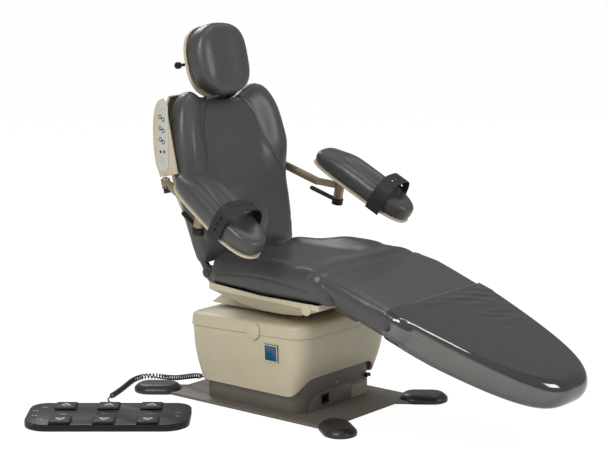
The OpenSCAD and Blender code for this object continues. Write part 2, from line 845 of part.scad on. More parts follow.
// Seat pan: a boat-shaped tub with round bosses over the leg pivots
function rim_line(y) = seat_floor_z + rim_rise * max(0, (y - rim_bend_y) / (pan_rear - rim_bend_y));
module pan_side(inset) polygon(concat(
    [[pan_front + inset, seat_floor_z - pan_rim_h + inset]],
    [for (p = pan_low) [p[0], p[1] + inset]],
    [[pan_rear - inset, seat_floor_z + inset / 2], [pan_rear - inset, seat_floor_z + pan_rim_h],
    [pan_front + inset, seat_floor_z + pan_rim_h]]));
module pan_block(inset) hull() {
    along_x(-pan_low_half + inset, pan_low_half - inset) pan_side(inset);
    along_x(-pan_half + inset, pan_half - inset) polygon([
        [pan_front + inset, seat_floor_z - pan_rim_h + inset], [pan_rear - inset,
            seat_floor_z - pan_rim_h / 3 + inset],
        [pan_rear - inset, seat_floor_z + pan_rim_h], [pan_front + inset, seat_floor_z + pan_rim_h]]);
}

module seat_pan() color(shell_paint) {
    difference() {
        pan_block(0);
        pan_block(pan_wall);
        along_x(-pan_half - overrun, pan_half + overrun) polygon([
            [pan_front - overrun, rim_line(pan_front)], [rim_bend_y, seat_floor_z], [pan_rear + overrun,
            rim_line(pan_rear + overrun)], [pan_rear + overrun, seat_floor_z + 2 * pan_rim_h],
            [pan_front - overrun, seat_floor_z + 2 * pan_rim_h]]);
        translate([-neck_window_x, neck_window[0] - pan_rim_h, pan_low[3][1] - overrun])
            cube([2 * neck_window_x, neck_window[1] - neck_window[0] + pan_rim_h, 2 * pan_rim_h]);
        both_sides() translate([rail_x - hinge_t / 2, pan_front - overrun, leg_z - 4 * hinge_r])
            cube([hinge_t + rail_t, leg_y + hinge_r - pan_front + 2 * overrun, 6 * hinge_r]);
        both_sides() translate([arm_plate_x - seat_gap, pan_rear - 3 * pan_wall,
            frame_top - plate6 - seat_gap])
            cube([arm_plate_t + 2 * seat_gap, 4 * pan_wall, 3 * pan_rim_h]);
    }
    both_sides() translate([pan_half, leg_y, leg_z - 2 * pan_boss_t])
        rod_x(-pan_boss_t / 2, pan_boss_t, pan_boss_r - 2 * pan_boss_t);
}

module seat_frame() color(steel) difference() {
    union() {
        difference() {
            translate([-frame_half, frame_front, frame_top - plate6])
                cube([2 * frame_half, frame_rear - frame_front, plate6]);
            translate([-neck_window_x, neck_window[0], frame_top - plate6 - overrun])
                cube([2 * neck_window_x, neck_window[1] - neck_window[0], plate6 + 2 * overrun]);
        }
        both_sides() along_x(frame_ear_x, frame_ear_x + frame_ear_t) {
            translate([tilt_y, tilt_z]) circle(frame_ear_r);
            translate([tilt_y - frame_ear_r, tilt_z]) square([2 * frame_ear_r, frame_top - tilt_z]);
        }
        both_sides() along_x(hinge_x, hinge_x + hinge_t) {
            translate([leg_y, leg_z]) circle(hinge_r);
            polygon([[leg_y - hinge_r, leg_z], [leg_y - hinge_r, frame_top], [leg_y + 6 * hinge_r,
                frame_top],
                [leg_y + 6 * hinge_r, frame_top - plate6], [leg_y + hinge_r, leg_z]]);
        }
        both_sides() translate([0, leg_y, leg_z]) rod_x(rail_x - overrun, hinge_x + overrun, hinge_pin_r);
        both_sides() along_x(arm_plate_x, arm_plate_x + arm_plate_t) {
            translate([back_y, back_z]) circle(arm_plate_r);
            polygon([[frame_rear - pan_rim_h, frame_top - plate6], [seat_rear_y + pan_rim_h,
                frame_top - plate6],
                [back_y + arm_plate_r, back_z], [back_y - arm_plate_r, back_z],
                [seat_rear_y + 2 * overrun, frame_top + 2 * plate6], [frame_rear - pan_rim_h, frame_top]]);
        }
    }
    translate([0, tilt_y, tilt_z]) rod_x(-pan_half, pan_half, tilt_r + bore_gap);
    translate([0, back_y, back_z]) rod_x(-pan_half, pan_half, back_r + bore_gap);
}

module tilt_actuator() color(rubber) {
    translate([-lug_x, 0, actuator_z]) rotate([-90, 0, 0]) {
        translate([0, 0, actuator[0]]) cylinder(h = actuator[1] - actuator[0], r = actuator_r);
        translate([0, 0, actuator[1] - overrun])
            cylinder(h = rod_tip_y - seat_gap - actuator[1] + overrun, r = actuator_rod_r);
    }
    translate([-lug_x - actuator_r / 2, actuator[0], actuator_z])
        cube([actuator_r, 2 * actuator_r, frame_top - plate6 - seat_gap - actuator_z]);
}

module back_gearmotor() color(dark_paint) translate([0, back_y, back_z]) {
    rod_x(-drive_half, drive_half, drive_r);
    rod_x(-shaft_half, shaft_half, back_r);
}

// Seat cushion: flat below, bolsters at the sides, a round front end about the leg pivot
function seat_crown(x, y) = let (
    rise = smooth(seat_rise[0], seat_rise[1], y),
    fall = smooth(seat_fall[0], seat_fall[1], y),
    bolster = (seat_bolster_z - seat_mid_z) * bump(abs(x), bolster_x, bolster_w * bolster_spread))
    seat_mid_z + (seat_front_z - seat_mid_z) * rise + bolster * (1 - rise) - seat_side_fall * fall
    * smooth(bolster_x - bolster_w, bolster_x, abs(x));
function seat_section(x) = let (
    drop = edge_drop(x, seat_half, seat_edge),
    rear = seat_rear_y - (seat_rear_y - seat_side_rear) * smooth(seat_half - 2 * seat_edge,
        seat_half - seat_edge / 3,
        abs(x)) - drop / 3,
    r = knuckle_r - seat_skin - drop,
    low = seat_floor_z + drop * seat_low_share,
    back_low_z = max(low, rim_line(rear) + seat_gap + drop * seat_low_share),
    arc0 = acos((low - leg_z) / r))
    concat(
        [[x, rim_bend_y, low], [x, leg_y + seat_flat_end, low]],
        [for (i = [0 : 7]) let (a = arc0 * (1 - i / 7)) [x, leg_y - r * sin(a), leg_z + r * cos(a)]],
        [for (i = [1 : 8]) let (y = leg_y + (rear - seat_rear_lip - leg_y) * i / 8) [x, y,
            seat_crown(x, y) - drop]],
        [[x, rear - seat_rear_round, seat_crown(x, rear) - drop - seat_rear_round],
        [x, rear, (seat_crown(x, rear) - drop + back_low_z) / 2],
        [x, rear - seat_rear_in, back_low_z + seat_rear_in]]);
module seat_cushion() color(vinyl) skin([for (u = cross_shares) seat_section(-u * seat_half)]);

// Leg section, in its own frame: Y back along its length from the pivot, Z across its thickness
module leg_place() translate([0, leg_y, leg_z]) rotate([leg_slope, 0, 0]) children();
function toe_end(x) = toe_start
    + (leg_len - toe_start) * pow(1 - pow(min(1, abs(x) / seat_half), 1 / toe_round_share), 1 / toe_share);
function leg_section(x, off, start) = let (
    drop = edge_drop(x, seat_half, leg_edge),
    root = leg_top - drop + off, top = root + leg_crown, low = leg_low + edge_drop(x, seat_half,
        leg_edge_low) - off,
    mid = (top + low) / 2, half = (top - low) / 2,
    end = max(toe_end(x), start + 3 * half) + off,
    knuckle = knuckle_r + knuckle_gap - drop * knuckle_edge_share)
    concat(
        [for (i = [0 : 10]) let (a = 90 - 18 * i, s = end - half + half * cos(a)) [x, -s, mid
            + half * sin(a)]],
        [for (i = [1 : 3]) [x, -(end - half + (start + 2 * half - end + half) * i / 4),
            low - leg_bow * sin(45 * i)]],
        start > lip_at ? [for (i = [0 : 4]) [x, -start, low + (top - low) * i / 4]]
            : [for (i = [0 : 4]) let (h = low + (root - lip_drop - low) * i / 4)
                [x, -max(lip_at, sqrt(max(0, knuckle * knuckle - h * h))), h]],
        [[x, -start - overrun, start > lip_at ? top : root]],
        [for (i = [1 : 5]) let (s = start + (end - half - start) * i / 6)
            [x, -s, root + leg_crown * smooth(leg_rise[0], leg_rise[1], s)]]);
module leg_cushion() color(vinyl) leg_place() skin([for (u = cross_shares) leg_section(u * seat_half,
    0, lip_at)]);

// Clear cover: a sheet that runs along the top, round the toe and back below
cover_order = [19, 20, 21, 22, 23, 24, 0, 1, 2, 3, 4, 5, 6, 7, 8, 9, 10, 11];
cover_half_share = 0.9;
cover_stations = [for (u = cross_shares) if (abs(u) < cover_half_share) u * seat_half];
cover_out = [for (x = cover_stations) leg_section(x, cover_off + cover_t, toe_cover_at)];
cover_in = [for (x = cover_stations) leg_section(x, cover_off, toe_cover_at)];
module toe_cover() color([0.75, 0.77, 0.80, 0.4]) leg_place() skin([for (k = cover_order) concat(
    [for (c = cover_in) c[k]], [for (i = [len(cover_out) - 1 : -1 : 0]) cover_out[i][k]])]);

module leg_frame() color(steel) leg_place() difference() {
    union() {
        both_sides() along_x(rail_x, rail_x + rail_t) {
            circle(hinge_r);
            polygon([[0, -hinge_r], [hinge_r, 0], [0, hinge_r], [-rail_knee, hinge_r],
                [-rail_knee - rail_h, leg_low - seat_gap], [-rail_end, leg_low - seat_gap],
                [-rail_end, leg_low - seat_gap - rail_h], [-rail_knee - 2 * rail_h,
                    leg_low - seat_gap - rail_h],
                [-rail_knee, -hinge_r]]);
        }
        for (s = cross_bar_at) translate([-rail_x - overrun, -s - rail_h, leg_low - seat_gap - rail_t])
            cube([2 * (rail_x + overrun), 2 * rail_h, rail_t]);
    }
    rod_x(-pan_half, pan_half, hinge_pin_r + bore_gap);
}

// Back, in its own leaning frame: Z up along it from the shaft, -Y out of its front
module back_place() translate([0, back_y, back_z]) rotate([-back_lean, 0, 0]) children();
module back_frame() color(steel) back_place() {
    difference() {
        union() {
            both_sides() along_x(rail_half, rail_half + rail_w) {
                circle(hub_r);
                polygon([[0, hub_r], [rail_front, hub_r * 3], [rail_front, rail_top], [rail_rear, rail_top],
                    [rail_rear, hub_r * 2], [hub_r, 0]]);
            }
            for (c = frame_cross) translate([-rail_half - overrun, rail_front, c[0]])
                cube([2 * (rail_half + overrun), plate6, c[1]]);
            translate([-head_bar_w / 2 - guide_wall, rail_front + plate6, rail_top - guide_l])
                cube([head_bar_w + 2 * guide_wall, bar_y + head_bar_t / 2
                    + guide_rear - rail_front - plate6,
                    guide_l + 2 * guide_wall]);
            for (s = [-1, 1]) translate([s * 2 * head_bar_w - head_bar_w / 2, rail_front,
                frame_cross[2][0]])
                cube([head_bar_w, shell_seat - rail_front, frame_cross[2][1] / 2]);
            both_sides() {
                translate([rail_half, rail_front, lug_t0])
                    cube([arm_pivot_x - rail_half, arm_pivot_y + eye_r - rail_front, lug_h]);
                translate([arm_pivot_x, arm_pivot_y, lug_t0]) cylinder(h = lug_h, r = eye_r);
                translate([arm_pivot_x, arm_pivot_y, lug_t0])
                    cylinder(h = pod_low - lug_t0 - 2 * overrun, r = arm_pin_r);
            }
        }
        rod_x(-pan_half, pan_half, back_r + bore_gap);
        translate([-head_bar_w / 2 - bore_gap, bar_y - head_bar_t / 2 - bore_gap,
            rail_top - guide_l - overrun])
            cube([head_bar_w + 2 * bore_gap, head_bar_t + 2 * bore_gap, guide_l + 4 * guide_wall]);
    }
}

// Stations of the back shell: distance up the back, half width share, depth share
shell_stations_shares = [[0, 0.81, 0.65], [0.1, 0.92, 0.67], [0.24, 0.965, 0.73], [0.36, 1, 0.94],
    [0.5, 1, 1], [0.73, 1, 0.97], [0.92, 0.96, 0.83], [1, 0.85, 0.67]];
shell_l = 514;
function shell_ring(st, inset) = let (
    w = shell_half * st[1] - inset, d = shell_depth * st[2] - inset, r = shell_corner - inset,
    z = shell_low + shell_l * st[0] + (st[0] == 0 ? -inset : st[0] == 1 ? -inset : 0),
    front = inset > 0 ? rail_front - overrun : rail_front)
    concat([[w, front, z]],
        [for (i = [0 : 5]) [w - r + r * cos(18 * i), max(front, d - r) + (min(r,
            d - front)) * sin(18 * i), z]],
        [for (i = [5 : -1 : 0]) [-w + r - r * cos(18 * i), max(front, d - r) + (min(r,
            d - front)) * sin(18 * i), z]],
        [[-w, front, z]]);
module back_shell() color(shell_paint) back_place() difference() {
    skin([for (st = shell_stations_shares) shell_ring(st, 0)]);
    skin([for (st = shell_stations_shares) shell_ring(st, shell_wall)]);
    translate([-shell_notch, rail_front - overrun, rail_top - guide_wall])
        cube([2 * shell_notch, shell_depth, shell_l]);
    both_sides() {
        translate([rail_half, rail_front - overrun, lug_t0 - seat_gap])
            cube([shell_half, arm_pivot_y + eye_r + 2 * overrun - rail_front, lug_h + 2 * seat_gap]);
        translate([rail_half - seat_gap, rail_front - overrun, shell_low - overrun])
            cube([rail_w + 2 * seat_gap, shell_depth, shell_slot]);
    }
}

// Outline of a control pod, from its lower rear corner round the rear edge to its top
pod_edge = [[58, 0], [67, 46], [66, 80], [62, 112], [53, 156], [41, 196], [26, 226], [10, 243], [-12,
    250], [-21, 236]];
module pod_outline(front, inset) translate([0, pod_low]) intersection() {
    offset(delta = -inset) polygon(concat(pod_edge, [[-shell_depth, pod_l], [-shell_depth, 0]]));
    translate([front, inset]) square([2 * shell_depth, pod_l - 2 * inset]);
}
module control_pod(front) difference() {
    union() {
        along_x(pod_inner_x, cheek_x) pod_outline(cushion_rear + 2 * overrun, 0);
        along_x(cheek_x - bore_gap, pod_face_x) pod_outline(front, 0);
    }
    along_x(pod_inner_x - overrun, pod_face_x - pod_wall) pod_outline(cushion_rear + 2 * overrun, pod_wall);
}
// The right pod holds the keypad and reaches further forward than the plain left one
module control_pods() color(shell_paint) back_place() {
    mirror([1, 0, 0]) control_pod(pod_front_y);
    control_pod(pod_plain_front_y);
}

// Keypad, upright in the room while the back leans
module keypad() color([0.82, 0.84, 0.84]) back_place() mirror([1, 0, 0])
    along_x(pod_face_x + seat_gap, pod_face_x + seat_gap + keypad_t)
        translate([keypad_y, pod_low + pod_l / 2 + overrun]) rotate(back_lean) {
            for (s = [-1, 1]) translate([0, s * (keypad_l - keypad_w) / 2]) circle(d = keypad_w);
            square([keypad_w, keypad_l - keypad_w], center = true);
        }

// Back cushion: lobed top, narrower foot, raised side lobes and a soft lumbar bulge
lumbar_up = 150;
lumbar = 9;
lumbar_wide = 130;
lumbar_tall = 150;
foot_rise = 300;
foot_bend = 1.2;
notch_flat = 50;
crown_fall = 210;
lobe_from = 250;
lobe_full = 380;
seam_full = 420;
seam_depth = 7;
seam_x = 58;
seam_swing = 60;
seam_mid_z = 420;
seam_tall = 260;
seam_w = 26;
function back_low_at(x) = back_low
    + (abs(x) < back_low_half ? 0 : foot_rise * pow((abs(x) - back_low_half) / (back_half - back_low_half), foot_bend));
function back_top_at(x) = let (a = abs(x), u = max(0, (a - lobe_x) / (back_half - lobe_x)))
    a < lobe_x ? back_notch + (back_top - back_notch) * smooth(notch_flat, lobe_x, a)
        : back_top - crown_fall * (1 - sqrt(max(0, 1 - u * u * 0.98)));
function back_face(x, z) = back_front
    + lobe_front * bump(abs(x), lobe_mid, lobe_wide) * smooth(lobe_from, lobe_full, z)
    + lumbar * bump(x, 0, lumbar_wide) * bump(z, lumbar_up, lumbar_tall)
    - seam_depth * bump(abs(x), seam_x + seam_swing * bump(z, seam_mid_z, seam_tall), seam_w)
    * smooth(lobe_from, seam_full, z);
function back_section(x) = let (
    drop = edge_drop(x, back_half, back_edge),
    z0 = back_low_at(x) + drop / 4, z1 = back_top_at(x) - drop / 4,
    mid = (z0 + z1) / 2, half = (z1 - z0) / 2, e = 0.42)
    [for (i = [0 : 23]) let (a = 360 * i / 24, z = mid + half * power(cos(a), 0.6),
        f = power(sin(a), e), front = back_face(x, z) - drop, rear = -cushion_rear + drop * 0.35)
        [x, -((front + rear) / 2 + (front - rear) / 2 * f), z]];
module back_cushion() color(vinyl) back_place() skin([for (u = cross_shares) back_section(u * back_half)]);

module arm_pivot_caps() color(rubber) back_place() both_sides()
    translate([arm_pivot_x, arm_pivot_y, lug_t0 - seat_gap - 2 * arm_pin_r])
        cylinder(h = 2 * arm_pin_r, r = eye_r - pivot_cap_in);

// Headrest
module head_bar() color(steel) back_place() difference() {
    union() {
        translate([-head_bar_w / 2, bar_y - head_bar_t / 2, bar_low]) cube([head_bar_w, head_bar_t,
            low_pivot - bar_low]);
        translate([0, bar_y, low_pivot]) rod_x(-head_bar_w / 2, head_bar_w / 2, link_r);
    }
    translate([0, bar_y, low_pivot]) rod_x(-head_bar_w, head_bar_w, knob_pin_r + bore_gap);
}

module head_link() color(steel) back_place() {
    x0 = head_bar_w / 2 + seat_gap;
    difference() {
        both_sides() along_x(x0, x0 + link_t) {
            translate([bar_y, low_pivot]) circle(link_r);
            translate([top_pivot_y, top_pivot]) circle(link_r);
            polygon([[bar_y - link_r, low_pivot], [bar_y + link_r, low_pivot],
                [top_pivot_y + link_r, top_pivot], [top_pivot_y - link_r, top_pivot]]);
        }
        translate([0, top_pivot_y, top_pivot]) rod_x(-head_half, head_half, knob_pin_r + bore_gap);
    }
    translate([0, bar_y, low_pivot]) rod_x(-x0 - overrun, x0 + overrun, knob_pin_r);
}

function head_reach(x, half) = head_half_h * pow(max(0.05, 1 - pow(abs(x) / half, head_square)),
    1 / head_square);
function head_outline(half, n) = [for (i = [0 : n - 1]) let (a = 360 * i / n)
    [half * power(cos(a), 2 / head_square), head_half_h * half / head_half * power(sin(a),
        2 / head_square)]];
module head_shell() color(shell_paint) back_place() {
    y0 = head_y + head_thick / 2 + seat_gap;
    translate([0, y0, head_up]) rotate([-90, 0, 0]) difference() {
        linear_extrude(head_shell_t) polygon(head_outline(head_half - head_shell_in, head_sides));
        translate([0, 0, -overrun]) linear_extrude(head_shell_t - shell_wall + overrun)
            polygon(head_outline(head_half - head_shell_in - shell_wall, head_sides));
    }
    difference() {
        along_x(-head_bar_w / 2, head_bar_w / 2) {
            translate([top_pivot_y, top_pivot]) circle(link_r);
            translate([y0 + head_shell_t - shell_wall, top_pivot - link_r])
                square([top_pivot_y - y0 - head_shell_t + shell_wall, 2 * link_r]);
        }
        translate([0, top_pivot_y, top_pivot]) rod_x(-head_half, head_half, knob_pin_r + bore_gap);
    }
    translate([-head_half / 2, y0, head_up - shell_wall / 2]) cube([head_half, head_shell_t - overrun,
        shell_wall]);
}

function head_section(x) = let (drop = edge_drop(x, head_half, head_edge), r = head_reach(x,
    head_half) - drop / 6)
    [for (i = [0 : 17]) let (a = 360 * i / 18, f = power(sin(a), 0.45),
        front = head_thick / 2 - drop - head_groove * bump(x, 0, head_ridge_x),
        rear = -head_thick / 2 + drop * 0.4)
        [x, head_y - ((front + rear) / 2 + (front - rear) / 2 * f), head_up + r * power(cos(a), 0.6)]];
head_cross_shares = [-1, -0.96, -0.85, -0.65, -0.4, -0.2, 0, 0.2, 0.4, 0.65, 0.85, 0.96, 1];
module head_cushion() color(vinyl) back_place() skin([for (u = head_cross_shares) head_section(u * head_half)]);

module head_knob() color(rubber) back_place() translate([0, top_pivot_y, top_pivot]) {
    rod_x(-head_half - overrun, head_bar_w, knob_pin_r);
    rod_x(-head_half - knob_l, -head_half, knob_r);
}

// Arms, each drawn on the left and mirrored for the right
module post_place() back_place() translate(post_at) rotate([post_lean, 0, 0]) children();
module arm_bar(s) color(bronze) side(s) difference() {
    top = post_at + [0, -bar_meets * sin(post_lean), bar_meets * cos(post_lean)];
    eye = [arm_pivot_x, arm_pivot_y, lug_t0 + lug_h + seat_gap + bar_tall / 2];
    union() {
        back_place() {
            translate(eye - [0, 0, bar_tall / 2]) cylinder(h = bar_tall, r = eye_r);
            flat_bar(eye, bar_bend, bar_tall - 2 * overrun, bar_thick);
            flat_bar(bar_bend, top, bar_tall - 2 * overrun, bar_thick);
        }
        post_place() translate([0, 0, post_low]) cylinder(h = post_h, r = post_r);
    }
    back_place() translate([arm_pivot_x, arm_pivot_y, 0]) {
        translate([0, 0, lug_t0]) cylinder(h = pod_low - lug_t0, r = arm_pin_r + bore_gap);
        translate([0, 0, lug_t0 - eye_r]) cylinder(h = lug_h + eye_r + seat_gap, r = eye_r + overrun);
    }
    post_place() translate([0, 0, -post_h]) cylinder(h = 3 * post_h, r = stem_r + bore_gap);
}

module arm_lever(s) color(rubber) side(s) difference() {
    union() {
        post_place() translate([0, 0, collar_low]) cylinder(h = collar_h, r = collar_r);
        back_place() aim(lever_from, lever_to) rotate_extrude() {
            square([lever_r, norm(lever_to - lever_from)]);
            translate([0, norm(lever_to - lever_from)]) intersection() {
                circle(lever_r);
                square(lever_r);
            }
        }
    }
    post_place() translate([0, 0, post_low - seat_gap]) cylinder(h = post_h, r = post_r + seat_gap);
    post_place() translate([0, 0, -post_h]) cylinder(h = 3 * post_h, r = stem_r + bore_gap);
}

module arm_stem(s) color(steel) side(s) post_place() rotate([0, 0, board_splay]) difference() {
    union() {
        translate([0, 0, collar_low - 2 * overrun])
            cylinder(h = joint_up - knuckle_eye_r - collar_low + overrun, r = stem_r);
        translate([0, 0, joint_up]) rod_x(-tongue_half, tongue_half, knuckle_eye_r);
        translate([-tongue_half, -knuckle_eye_r, joint_up - 2 * knuckle_eye_r])
            cube([2 * tongue_half, 2 * knuckle_eye_r, 2 * knuckle_eye_r]);
    }
    translate([0, 0, joint_up]) rod_x(-post_r, post_r, joint_pin_r + bore_gap);
}

// Board frame: origin at the joint, Y to the rear end, Z out of the pad
module board_place() post_place() translate([0, 0, joint_up]) rotate([0, 0, board_splay])
    rotate([board_slope, 0, 0]) children();
function board_share(v) = v > 0 ? board_rear_share : board_front_share;
function board_outline(w, l, n) = [for (i = [0 : n - 1]) let (a = 360 * i / n)
    [w / 2 * power(cos(a), board_share(sin(a))), board_mid + l / 2 * power(sin(a), board_share(sin(a)))]];
module arm_pan(s) color(shell_paint) side(s) board_place() {
    translate([0, 0, pan_up]) linear_extrude(pan_t) polygon(board_outline(board_w - pan_inset,
        board_l - pan_inset, 44));
    both_sides() along_x(tongue_half + seat_gap, ear_half) {
        circle(knuckle_eye_r);
        translate([-knuckle_eye_r, 0]) square([2 * knuckle_eye_r, pan_up + overrun]);
    }
    rod_x(-ear_half, ear_half, joint_pin_r);
}

function board_reach(x, e) = board_l / 2 * pow(max(0.06, 1 - pow(2 * abs(x) / board_w, 2 / e)), e / 2);
function pad_section(x) = let (drop = edge_drop(x, board_w / 2, pad_edge))
    [for (i = [0 : 17]) let (a = 360 * i / 18,
        y = board_mid + board_reach(x, board_share(cos(a))) * power(cos(a), 0.7),
        roll = smooth(0, pad_roll_x, abs(x)),
        open = smooth(board_mid + board_l * 0.2, board_mid + board_l * 0.46, y),
        f = power(sin(a), sin(a) > 0 ? pad_round_share : pad_flat_share),
        top = pad_h - drop * 0.9 - (pad_h - pad_trough) * (1 - roll) * bump(y, board_mid, board_l / 2)
            - (pad_h - pad_trough) * 0.5 * open)
        [x, y, pad_up + drop * 0.3 * (1 - f) / 2 + top * (1 + f) / 2]];
module arm_pad(s) color(vinyl) side(s) board_place()
    skin([for (u = head_cross_shares) pad_section(u * board_w / 2)]);

// Strap: a band that arches over the pad and is fixed to both sides of the pan
function strap_arc(grow) = [for (i = [0 : 20]) let (a = 180 * i / 20)
    [(board_w / 2 + strap_gap + grow) * (i == 10 ? 0 : power(cos(a), strap_square_share)),
    strap_low + (strap_rise + grow - strap_low) * (i == 20 ? 0 : pow(sin(a), strap_square_share))]];
module arm_strap(s) color(rubber) side(s) board_place() translate([0,
    s > 0 ? strap_left_at : strap_right_at, 0]) {
    rotate([90, 0, 0]) linear_extrude(strap_w, center = true)
        polygon(concat(strap_arc(strap_t), [for (i = [20 : -1 : 0]) strap_arc(0)[i]]));
    both_sides() translate([strap_foot_x, -strap_foot, strap_low])
        cube([board_w / 2 + strap_gap + strap_t / 2 - strap_foot_x, 2 * strap_foot, strap_t]);
}

// Foot control, in its own frame: X along it, Y to its rear edge
module pedal_place() translate([pedal_at.x, pedal_at.y, 0]) rotate(pedal_turn) children();
module pedal_outline(inset) {
    w = pedal_l / 2 - inset;
    d = pedal_d / 2 - inset;
    f = pedal_round_front - inset;
    r = pedal_round_rear - inset;
    for (s = [-1, 1]) {
        translate([s * (w - f), -d + f]) circle(f);
        translate([s * (w - r), d - r]) circle(r);
    }
    polygon([[-w, -d + f], [-w + f, -d], [w - f, -d], [w, -d + f], [w, d - r], [w - r, d], [-w + r, d],
        [-w, d - r]]);
}
function pad_spots() = [for (i = [-1 : 1]) for (y = [pad_row_rear, pad_row_front]) [pad_shift
    + i * pad_pitch, y]];

module foot_control_base() color(rubber) pedal_place() difference() {
    linear_extrude(pedal_base_h) pedal_outline(0);
    translate([0, 0, pedal_wall]) linear_extrude(pedal_base_h) pedal_outline(3 * pedal_wall);
}

module foot_control_cover() color(rubber) pedal_place() difference() {
    union() {
        translate([0, 0, pedal_base_h
            + seat_gap]) linear_extrude(pedal_h - pedal_base_h - seat_gap - pedal_wall)
            pedal_outline(0);
        translate([0, 0, pedal_h - pedal_wall - bore_gap]) linear_extrude(pedal_wall
            + bore_gap) pedal_outline(pedal_wall);
    }
    for (p = pad_spots()) translate([p.x - pad_stem / 2 - pad_hole_gap, p.y - pad_stem / 2 - pad_hole_gap,
        pedal_base_h]) cube([pad_stem + 2 * pad_hole_gap, pad_stem + 2 * pad_hole_gap, pedal_h]);
}

module foot_pad(i) color(rubber) pedal_place() translate([pad_spots()[i].x, pad_spots()[i].y, 0]) {
    z0 = pedal_h + pad_lift;
    hull() {
        translate([-pad_l / 2, -pad_d / 2, z0]) cube([pad_l, pad_d, overrun]);
        translate([-pad_l / 2 + pad_bevel, -pad_d / 2 + pad_bevel, z0])
            cube([pad_l - 2 * pad_bevel, pad_d - 2 * pad_bevel, pad_h_top]);
    }
    translate([-pad_stem / 2, -pad_stem / 2, pedal_base_h + pad_lift - overrun])
        cube([pad_stem, pad_stem, pedal_h - pedal_base_h + overrun]);
}

// Gland on the skirt's rear with its tapered strain relief
module cord_gland() color(rubber) translate([gland_at.x, skirt_half + seat_gap,
    gland_at.y]) rotate([-90, 0, 0]) {
    cylinder(h = gland_t, r = gland_r);
    translate([0, 0, -skirt_wall - 2 * overrun]) cylinder(h = skirt_wall + 2 * overrun + gland_t,
        r = relief_r);
    translate([0, 0, gland_t]) cylinder(h = relief_l - gland_t, r1 = relief_r, r2 = relief_tip_r);
}

// A smooth line through the route's points, at v counted in points
function route_at(pts, v) = let (
    n = len(pts) - 1, i = min(n - 1, max(0, floor(v))), u = v - i,
    p0 = i > 0 ? pts[i - 1] : 2 * pts[0] - pts[1], p1 = pts[i], p2 = pts[i + 1],
    p3 = i + 2 <= n ? pts[i + 2] : 2 * pts[n] - pts[n - 1])
    0.5 * ((2 * p1) + (p2 - p0) * u + (2 * p0 - 5 * p1 + 4 * p2 - p3) * u * u
        + (3 * p1 - p0 - 3 * p2 + p3) * u * u * u);
function unit(v) = v / norm(v);
function ring_round(at, dir, r, sides) = let (d = unit(dir), a = unit(cross(d, abs(d.z) > 0.9 ? [1, 0,
    0] : [0, 0, 1])),
    b = cross(d, a)) [for (i = [0 : sides - 1]) at + r * (cos(360 * i / sides) * a
        + sin(360 * i / sides) * b)];
function swept(line, r, sides) = [for (i = [0 : len(line) - 1])
    ring_round(line[i], line[min(i + 1, len(line) - 1)] - line[max(i - 1, 0)], r, sides)];

// The curls wind round the route at an even pitch; the wire starts and ends on the middle line
route_fine = 240;
route_line = [for (i = [0 : route_fine]) route_at(cord_route, (len(cord_route) - 1) * i / route_fine)];
route_steps = [for (i = [1 : route_fine]) norm(route_line[i] - route_line[i - 1])];
function sums(v, i = 0, acc = 0, out = []) = i == len(v) ? concat(out, [acc]) : sums(v, i + 1, acc
    + v[i], concat(out, [acc]));
route_far = sums(route_steps);
route_len = route_far[route_fine];
function find_at(s, lo = 0, hi = route_fine) = hi - lo <= 1 ? lo
    : let (m = floor((lo + hi) / 2)) route_far[m] > s ? find_at(s, lo, m) : find_at(s, m, hi);
function line_at(s) = let (i = find_at(s), u = (s - route_far[i]) / route_steps[i])
    route_line[i] + (route_line[i + 1] - route_line[i]) * u;
wire_end = 2 * wire_d;
line_end = 0.01;
probe = 2;
curl_count = curls * curl_rings;
function curl_point(i) = let (
    s = wire_end + (route_len - 2 * wire_end) * i / curl_count,
    c = line_at(s), d = unit(line_at(min(s + probe, route_len - line_end)) - line_at(max(s - probe, 0))),
    a = unit(cross(d, [0, 0, 1])), b = cross(d, a),
    r = curl_r * smooth(0, curl_rings, i) * smooth(0, curl_rings, curl_count - i), t = 360 * i / curl_rings)
    c + r * (cos(t) * a + sin(t) * b);
wire_line = concat([line_at(0), line_at(wire_end / 2)], [for (i = [0 : curl_count]) curl_point(i)],
    [line_at(route_len - wire_end / 2), line_at(route_len - line_end)]);
wire_gap = min([for (i = [curl_rings : curl_count]) for (j = [curl_rings - 3 : 2 * curl_rings]) if (i - j > 0)
    norm(curl_point(i) - curl_point(i - j))]) - wire_d;
echo(curly_cord_length = route_len, wire_length = sum_of([for (i = [1 : len(wire_line) - 1])
    norm(wire_line[i] - wire_line[i - 1])]), least_gap = wire_gap);
function sum_of(v) = let (s = sums(v)) s[len(s) - 1];
module curly_cord() color(rubber) skin(swept(wire_line, wire_d / 2, curl_sides));

lead_rings = 30;
lead_line = [for (i = [0 : lead_rings]) route_at(lead_route, (len(lead_route) - 1) * i / lead_rings)];
module cord_lead() color(rubber) skin(swept(lead_line, wire_d / 2, lead_side));

base_plate();
foot_caps();
lower_skirt();
access_panel();
power_inlet();
skirt_latch();
outer_column();
lift_motor();
lift_screw();
control_unit();
cord_gland();
curly_cord();
cord_lead();
foot_control_base();
foot_control_cover();
foot_pad(0);  // foot_pad_lift_up
foot_pad(1);  // foot_pad_lift_down
foot_pad(2);  // foot_pad_back_up
foot_pad(3);  // foot_pad_back_down
foot_pad(4);  // foot_pad_tilt_up
foot_pad(5);  // foot_pad_tilt_down
mid_skirt();
mid_column();
lift_shroud();
side_caps();
badge_plate();
inner_column();
turntable();
neck_cover();
seat_frame();
seat_pan();
seat_cushion();
tilt_actuator();
back_gearmotor();
leg_frame();
leg_cushion();
toe_cover();
back_frame();
back_shell();
control_pods();
keypad();
back_cushion();
arm_pivot_caps();
head_bar();
head_link();
head_shell();
head_cushion();
head_knob();
arm_bar(1);  // arm_bar_left
arm_bar(-1);  // arm_bar_right
arm_lever(1);  // arm_lever_left
arm_lever(-1);  // arm_lever_right
